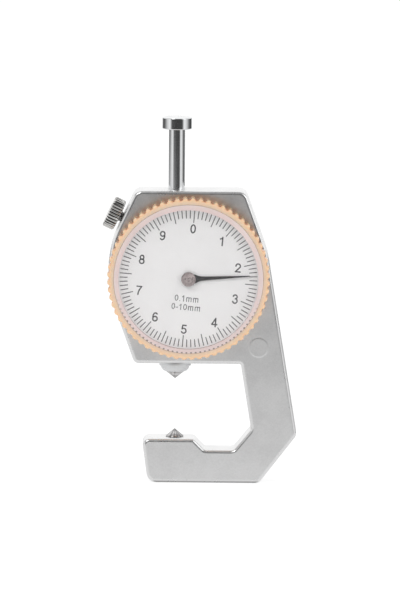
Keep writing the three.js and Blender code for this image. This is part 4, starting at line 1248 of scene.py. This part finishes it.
class GAUGE_OT_clamp(Operator):
    """Adds the knurled lock screw at the side of the frame"""

    bl_idname = "gauge.clamp"
    bl_label = "Lock screw"

    samples_per_ridge = 8
    head_length = 2.85
    ridge_steepness = 1.6
    # Rings in place of the thread: radius and place of each corner, and the way from ring to ring
    thread_outer, thread_core = 1.2, 1.05
    thread_ring = [(thread_outer, 0), (thread_core, 0.11), (thread_core, 0.2), (thread_outer, 0.31)]
    thread_pitch = 0.45
    # Painted shade over the threaded shank, as a share of the darkening in the knurl's gaps
    thread_dirt = 0.75

    def ridge_height(self, angle):
        """Share of the knurl's depth that stands at an angle."""
        return min(1, off_middle(angle, sizes().knurl_ridges) * self.ridge_steepness)

    def execute(self, context):
        size = sizes()
        back, end, radius = reach("lock_screw", CLAMP_FOOT, CLAMP_INWARD)
        front = back + self.head_length
        outer, core, chamfer = self.thread_outer, self.thread_core, 0.3
        thread = []
        along = front + 0.5
        while along < end - 0.4:
            thread += [(corner, along + step) for corner, step in self.thread_ring]
            along += self.thread_pitch
        profile = [
            (0, back + 0.1), (1.9, back + 0.1), (2.1, back), (radius - chamfer, back),
            (radius, back + chamfer), (radius, front - chamfer), (radius - chamfer, front),
            (1.6, front), (outer, front + 0.25), *thread, (outer, end - 0.2), (core, end), (0, end)]
        steps = size.knurl_ridges * self.samples_per_ridge
        screw = turned(profile, CLAMP_FOOT, CLAMP_INWARD, steps)
        side = (X_AXIS - CLAMP_INWARD * CLAMP_INWARD.x).normalized()
        groove = cut_teeth(
            screw, CLAMP_FOOT, CLAMP_INWARD, side, radius * MM - size.knurl_depth, size.knurl_depth,
            self.ridge_height)
        # Painted shade over the threaded shank
        for vert in screw.verts:
            if (vert.co - CLAMP_FOOT).dot(CLAMP_INWARD) > (front + 0.2) * MM:
                vert[groove] = self.thread_dirt
        add_piece(
            screw, "clamp_screw", ["Knurled nickel"], "lock_screw", "nickel_plate", "lock_screw", angle=30)
        return {"FINISHED"}


class GAUGE_OT_inner(Operator):
    """Adds the upper bush and gives the pieces inside the casting their finishes"""

    bl_idname = "gauge.inner"
    bl_label = "Inner pieces"

    looks = {
        "Brass": [
            "front_bearing", "rear_bearing", "movement_bridge",
            "hair_spring_stud", "hair_spring_collet", "spring_collar", "lock_pad"],
        "Steel": ["centre_pinion", "guide_pin", "bridge_screw_1", "bridge_screw_2"],
        "Bright flange": ["lower_guide_bush"],
        "Spring steel": ["return_spring", "hair_spring", "bezel_snap_ring"],
    }

    def execute(self, context):
        self.add_bush()
        for look, nodes in self.looks.items():
            for node in nodes:
                for slot in frame["nodes"][node].material_slots:
                    slot.material = look_of(look)
        return {"FINISHED"}

    def add_bush(self):
        """Upper guide bush, ground flush with the top of the frame."""
        low, _ = heights("upper_guide_bush")
        inner, outer = half_width("spindle_rod") + 0.06, BORE_RADIUS - 0.01
        profile = [(inner, low), (outer, low), (outer, FRAME_TOP), (inner, FRAME_TOP)]
        bush = turned(profile, ORIGIN, Z_AXIS)
        add_piece(bush, "flush_bush", ["Satin casting"], "case", "tool_steel", "upper_guide_bush")


class GAUGE_OT_stage(Operator):
    """Adds the pale floor, the soft lamps, the white surroundings and the camera"""

    bl_idname = "gauge.stage"
    bl_label = "Stage"

    floor_radius = 3.0
    floor_glow = 0.62
    # Metal meets the near floor round this place, and past these distances the surroundings
    near_place, near_range = (-0.2, 0, 0), (0.24, 0.66)
    # The near floor's brightness under the foot and outside, and where it changes from the foot's edge
    foot_tones, foot_edge = (0.12, 0.76), (-0.8 * MM, 0.6 * MM)
    # Place and size of each lamp, and its share of the key power
    lamps = {
        "Key lamp": ((-0.55, -0.75, 0.95), 0.55, 1.0),
        "Fill lamp": ((0.8, -0.5, 0.6), 0.7, 0.5),
    }
    lamp_aim = Vector((0, 0, 0.045))
    camera_aim = Vector((5.91 * MM, 0, 44.27 * MM))

    def execute(self, context):
        studio = context.scene.gauge_studio
        self.add_floor()
        self.add_world(studio)
        for name, (place, size, share) in self.lamps.items():
            self.add_lamp(name, place, size, studio.key_power * share)
        self.add_camera(studio)
        context.scene.view_settings.view_transform = "Standard"
        return {"FINISHED"}

    def add_floor(self):
        disc = bmesh.new()
        bmesh.ops.create_circle(disc, cap_ends=True, segments=96, radius=self.floor_radius)
        floor = object_of(disc, "floor", [self.floor_look()])

    def floor_look(self):
        """White to the camera with a soft shadow; metal meets the surroundings in it."""
        floor = Finish("Pale floor")
        floor.tree.nodes.remove(floor.shader)
        tone = floor.ramp(floor.noise(floor.coords, 900.0, 3.0), [(0.3, 0.5), (0.7, 0.53)])
        diffuse = floor.add("ShaderNodeBsdfDiffuse", {"Color": tone})
        glow = floor.add("ShaderNodeEmission", {"Strength": self.floor_glow})
        seen = floor.add("ShaderNodeAddShader", {0: diffuse.outputs["BSDF"], 1: glow.outputs["Emission"]})
        away = floor.vector_math("DISTANCE", floor.coords, self.near_place)
        far = floor.remap(away, self.near_range, interpolation_type="SMOOTHSTEP")
        surroundings = floor.group("Studio", Vector=floor.coords)["Brightness"]
        brightness = floor.mix(far, self.foot_shade(floor), surroundings)
        mirrored = floor.add("ShaderNodeEmission", {"Strength": brightness})
        path = floor.add("ShaderNodeLightPath").outputs
        bounced = floor.math(
            "SUBTRACT", path["Is Glossy Ray"], path["Is Transmission Ray"], use_clamp=True)
        floor.mix_shaders(bounced, seen.outputs["Shader"], mirrored.outputs["Emission"])
        return floor.look

    def foot_shade(self, floor):
        """Brightness of the near floor in a mirror: dark under the gauge's foot, pale round it."""
        base = [vert.co.x for vert in frame["nodes"]["frame"].data.vertices if vert.co.z < 0.1 * MM]
        low, high = min(base), max(base)
        centred = floor.moved(floor.coords, (-(low + high) / 2, 0, 0))
        half = ((high - low) / 2, FACE_BACK * MM, 0)
        past = floor.vector_math("SUBTRACT", floor.vector_math("ABSOLUTE", centred), half)
        x, y, _ = floor.parts(past)
        return floor.remap(floor.math("MAXIMUM", x, y), self.foot_edge, self.foot_tones)

    def add_world(self, studio):
        world = bpy.data.worlds.new("Studio")
        world.use_nodes = True
        world.cycles.sampling_method = "NONE"
        bpy.context.scene.world = world
        nodes = Nodes(world.node_tree)
        coords = nodes.add("ShaderNodeTexCoord").outputs["Generated"]
        path = nodes.add("ShaderNodeLightPath").outputs
        mirrored = nodes.group("Studio", Vector=coords)["Brightness"]
        lit = nodes.mix(path["Is Glossy Ray"], studio.sky_strength, mirrored)
        white = nodes.math("MAXIMUM", path["Is Camera Ray"], path["Is Transmission Ray"])
        background = world.node_tree.nodes["Background"].inputs
        nodes.feed(nodes.mix(white, lit, 1.0), background["Strength"])
        background["Color"].default_value = (1, 1, 1, 1)

    def add_lamp(self, name, place, size, power):
        lamp = bpy.data.lights.new(name, "AREA")
        lamp.shape = "DISK"
        lamp.size = size
        lamp.energy = power
        holder = in_scene(name, lamp)
        holder.location = place
        holder.rotation_euler = (self.lamp_aim - Vector(place)).to_track_quat("-Z", "Y").to_euler()

    def add_camera(self, studio):
        camera = bpy.data.cameras.new("Camera")
        camera.sensor_width = 36.0
        camera.lens = camera.sensor_width * studio.camera_distance / studio.view_height
        camera.clip_start, camera.clip_end = 0.05, 20.0
        holder = in_scene("Camera", camera)
        rise = studio.camera_elevation
        back = Vector((0, -math.cos(rise), math.sin(rise)))
        holder.location = self.camera_aim + back * studio.camera_distance
        turn = (-back).to_track_quat("-Z", "Y").to_matrix().to_4x4()
        holder.rotation_euler = (turn @ Matrix.Rotation(studio.camera_roll, 4, "Z")).to_euler()
        bpy.context.scene.camera = holder


class GAUGE_PT_sidebar(Panel):
    bl_idname = "GAUGE_PT_sidebar"
    bl_label = "Dial thickness gauge"
    bl_space_type = "VIEW_3D"
    bl_region_type = "UI"
    bl_category = "Gauge"

    def draw(self, context):
        for operator in OPERATORS:
            self.layout.operator(operator.bl_idname)
        for name in PROPERTY_GROUPS:
            box = self.layout.box()
            group = getattr(context.scene, name)
            for key in group.__annotations__:
                box.prop(group, key)


OPERATORS = [
    GAUGE_OT_casting, GAUGE_OT_cover, GAUGE_OT_spindle, GAUGE_OT_anvil, GAUGE_OT_bezel,
    GAUGE_OT_dial, GAUGE_OT_pointer, GAUGE_OT_clamp, GAUGE_OT_inner, GAUGE_OT_stage,
]
PROPERTY_GROUPS = {
    "gauge_sizes": GaugeSizes, "gauge_colours": GaugeColours, "gauge_studio": GaugeStudio}
CLASSES = [*PROPERTY_GROUPS.values(), *OPERATORS, GAUGE_PT_sidebar]


def register():
    for made in CLASSES:
        bpy.utils.register_class(made)
    for name, group in PROPERTY_GROUPS.items():
        setattr(bpy.types.Scene, name, PointerProperty(type=group))


def unregister():
    for name in PROPERTY_GROUPS:
        delattr(bpy.types.Scene, name)
    for made in reversed(CLASSES):
        bpy.utils.unregister_class(made)


def main():
    register()
    for operator in OPERATORS:
        category, name = operator.bl_idname.split(".")
        getattr(getattr(bpy.ops, category), name)()


if __name__ == "__main__":
    main()
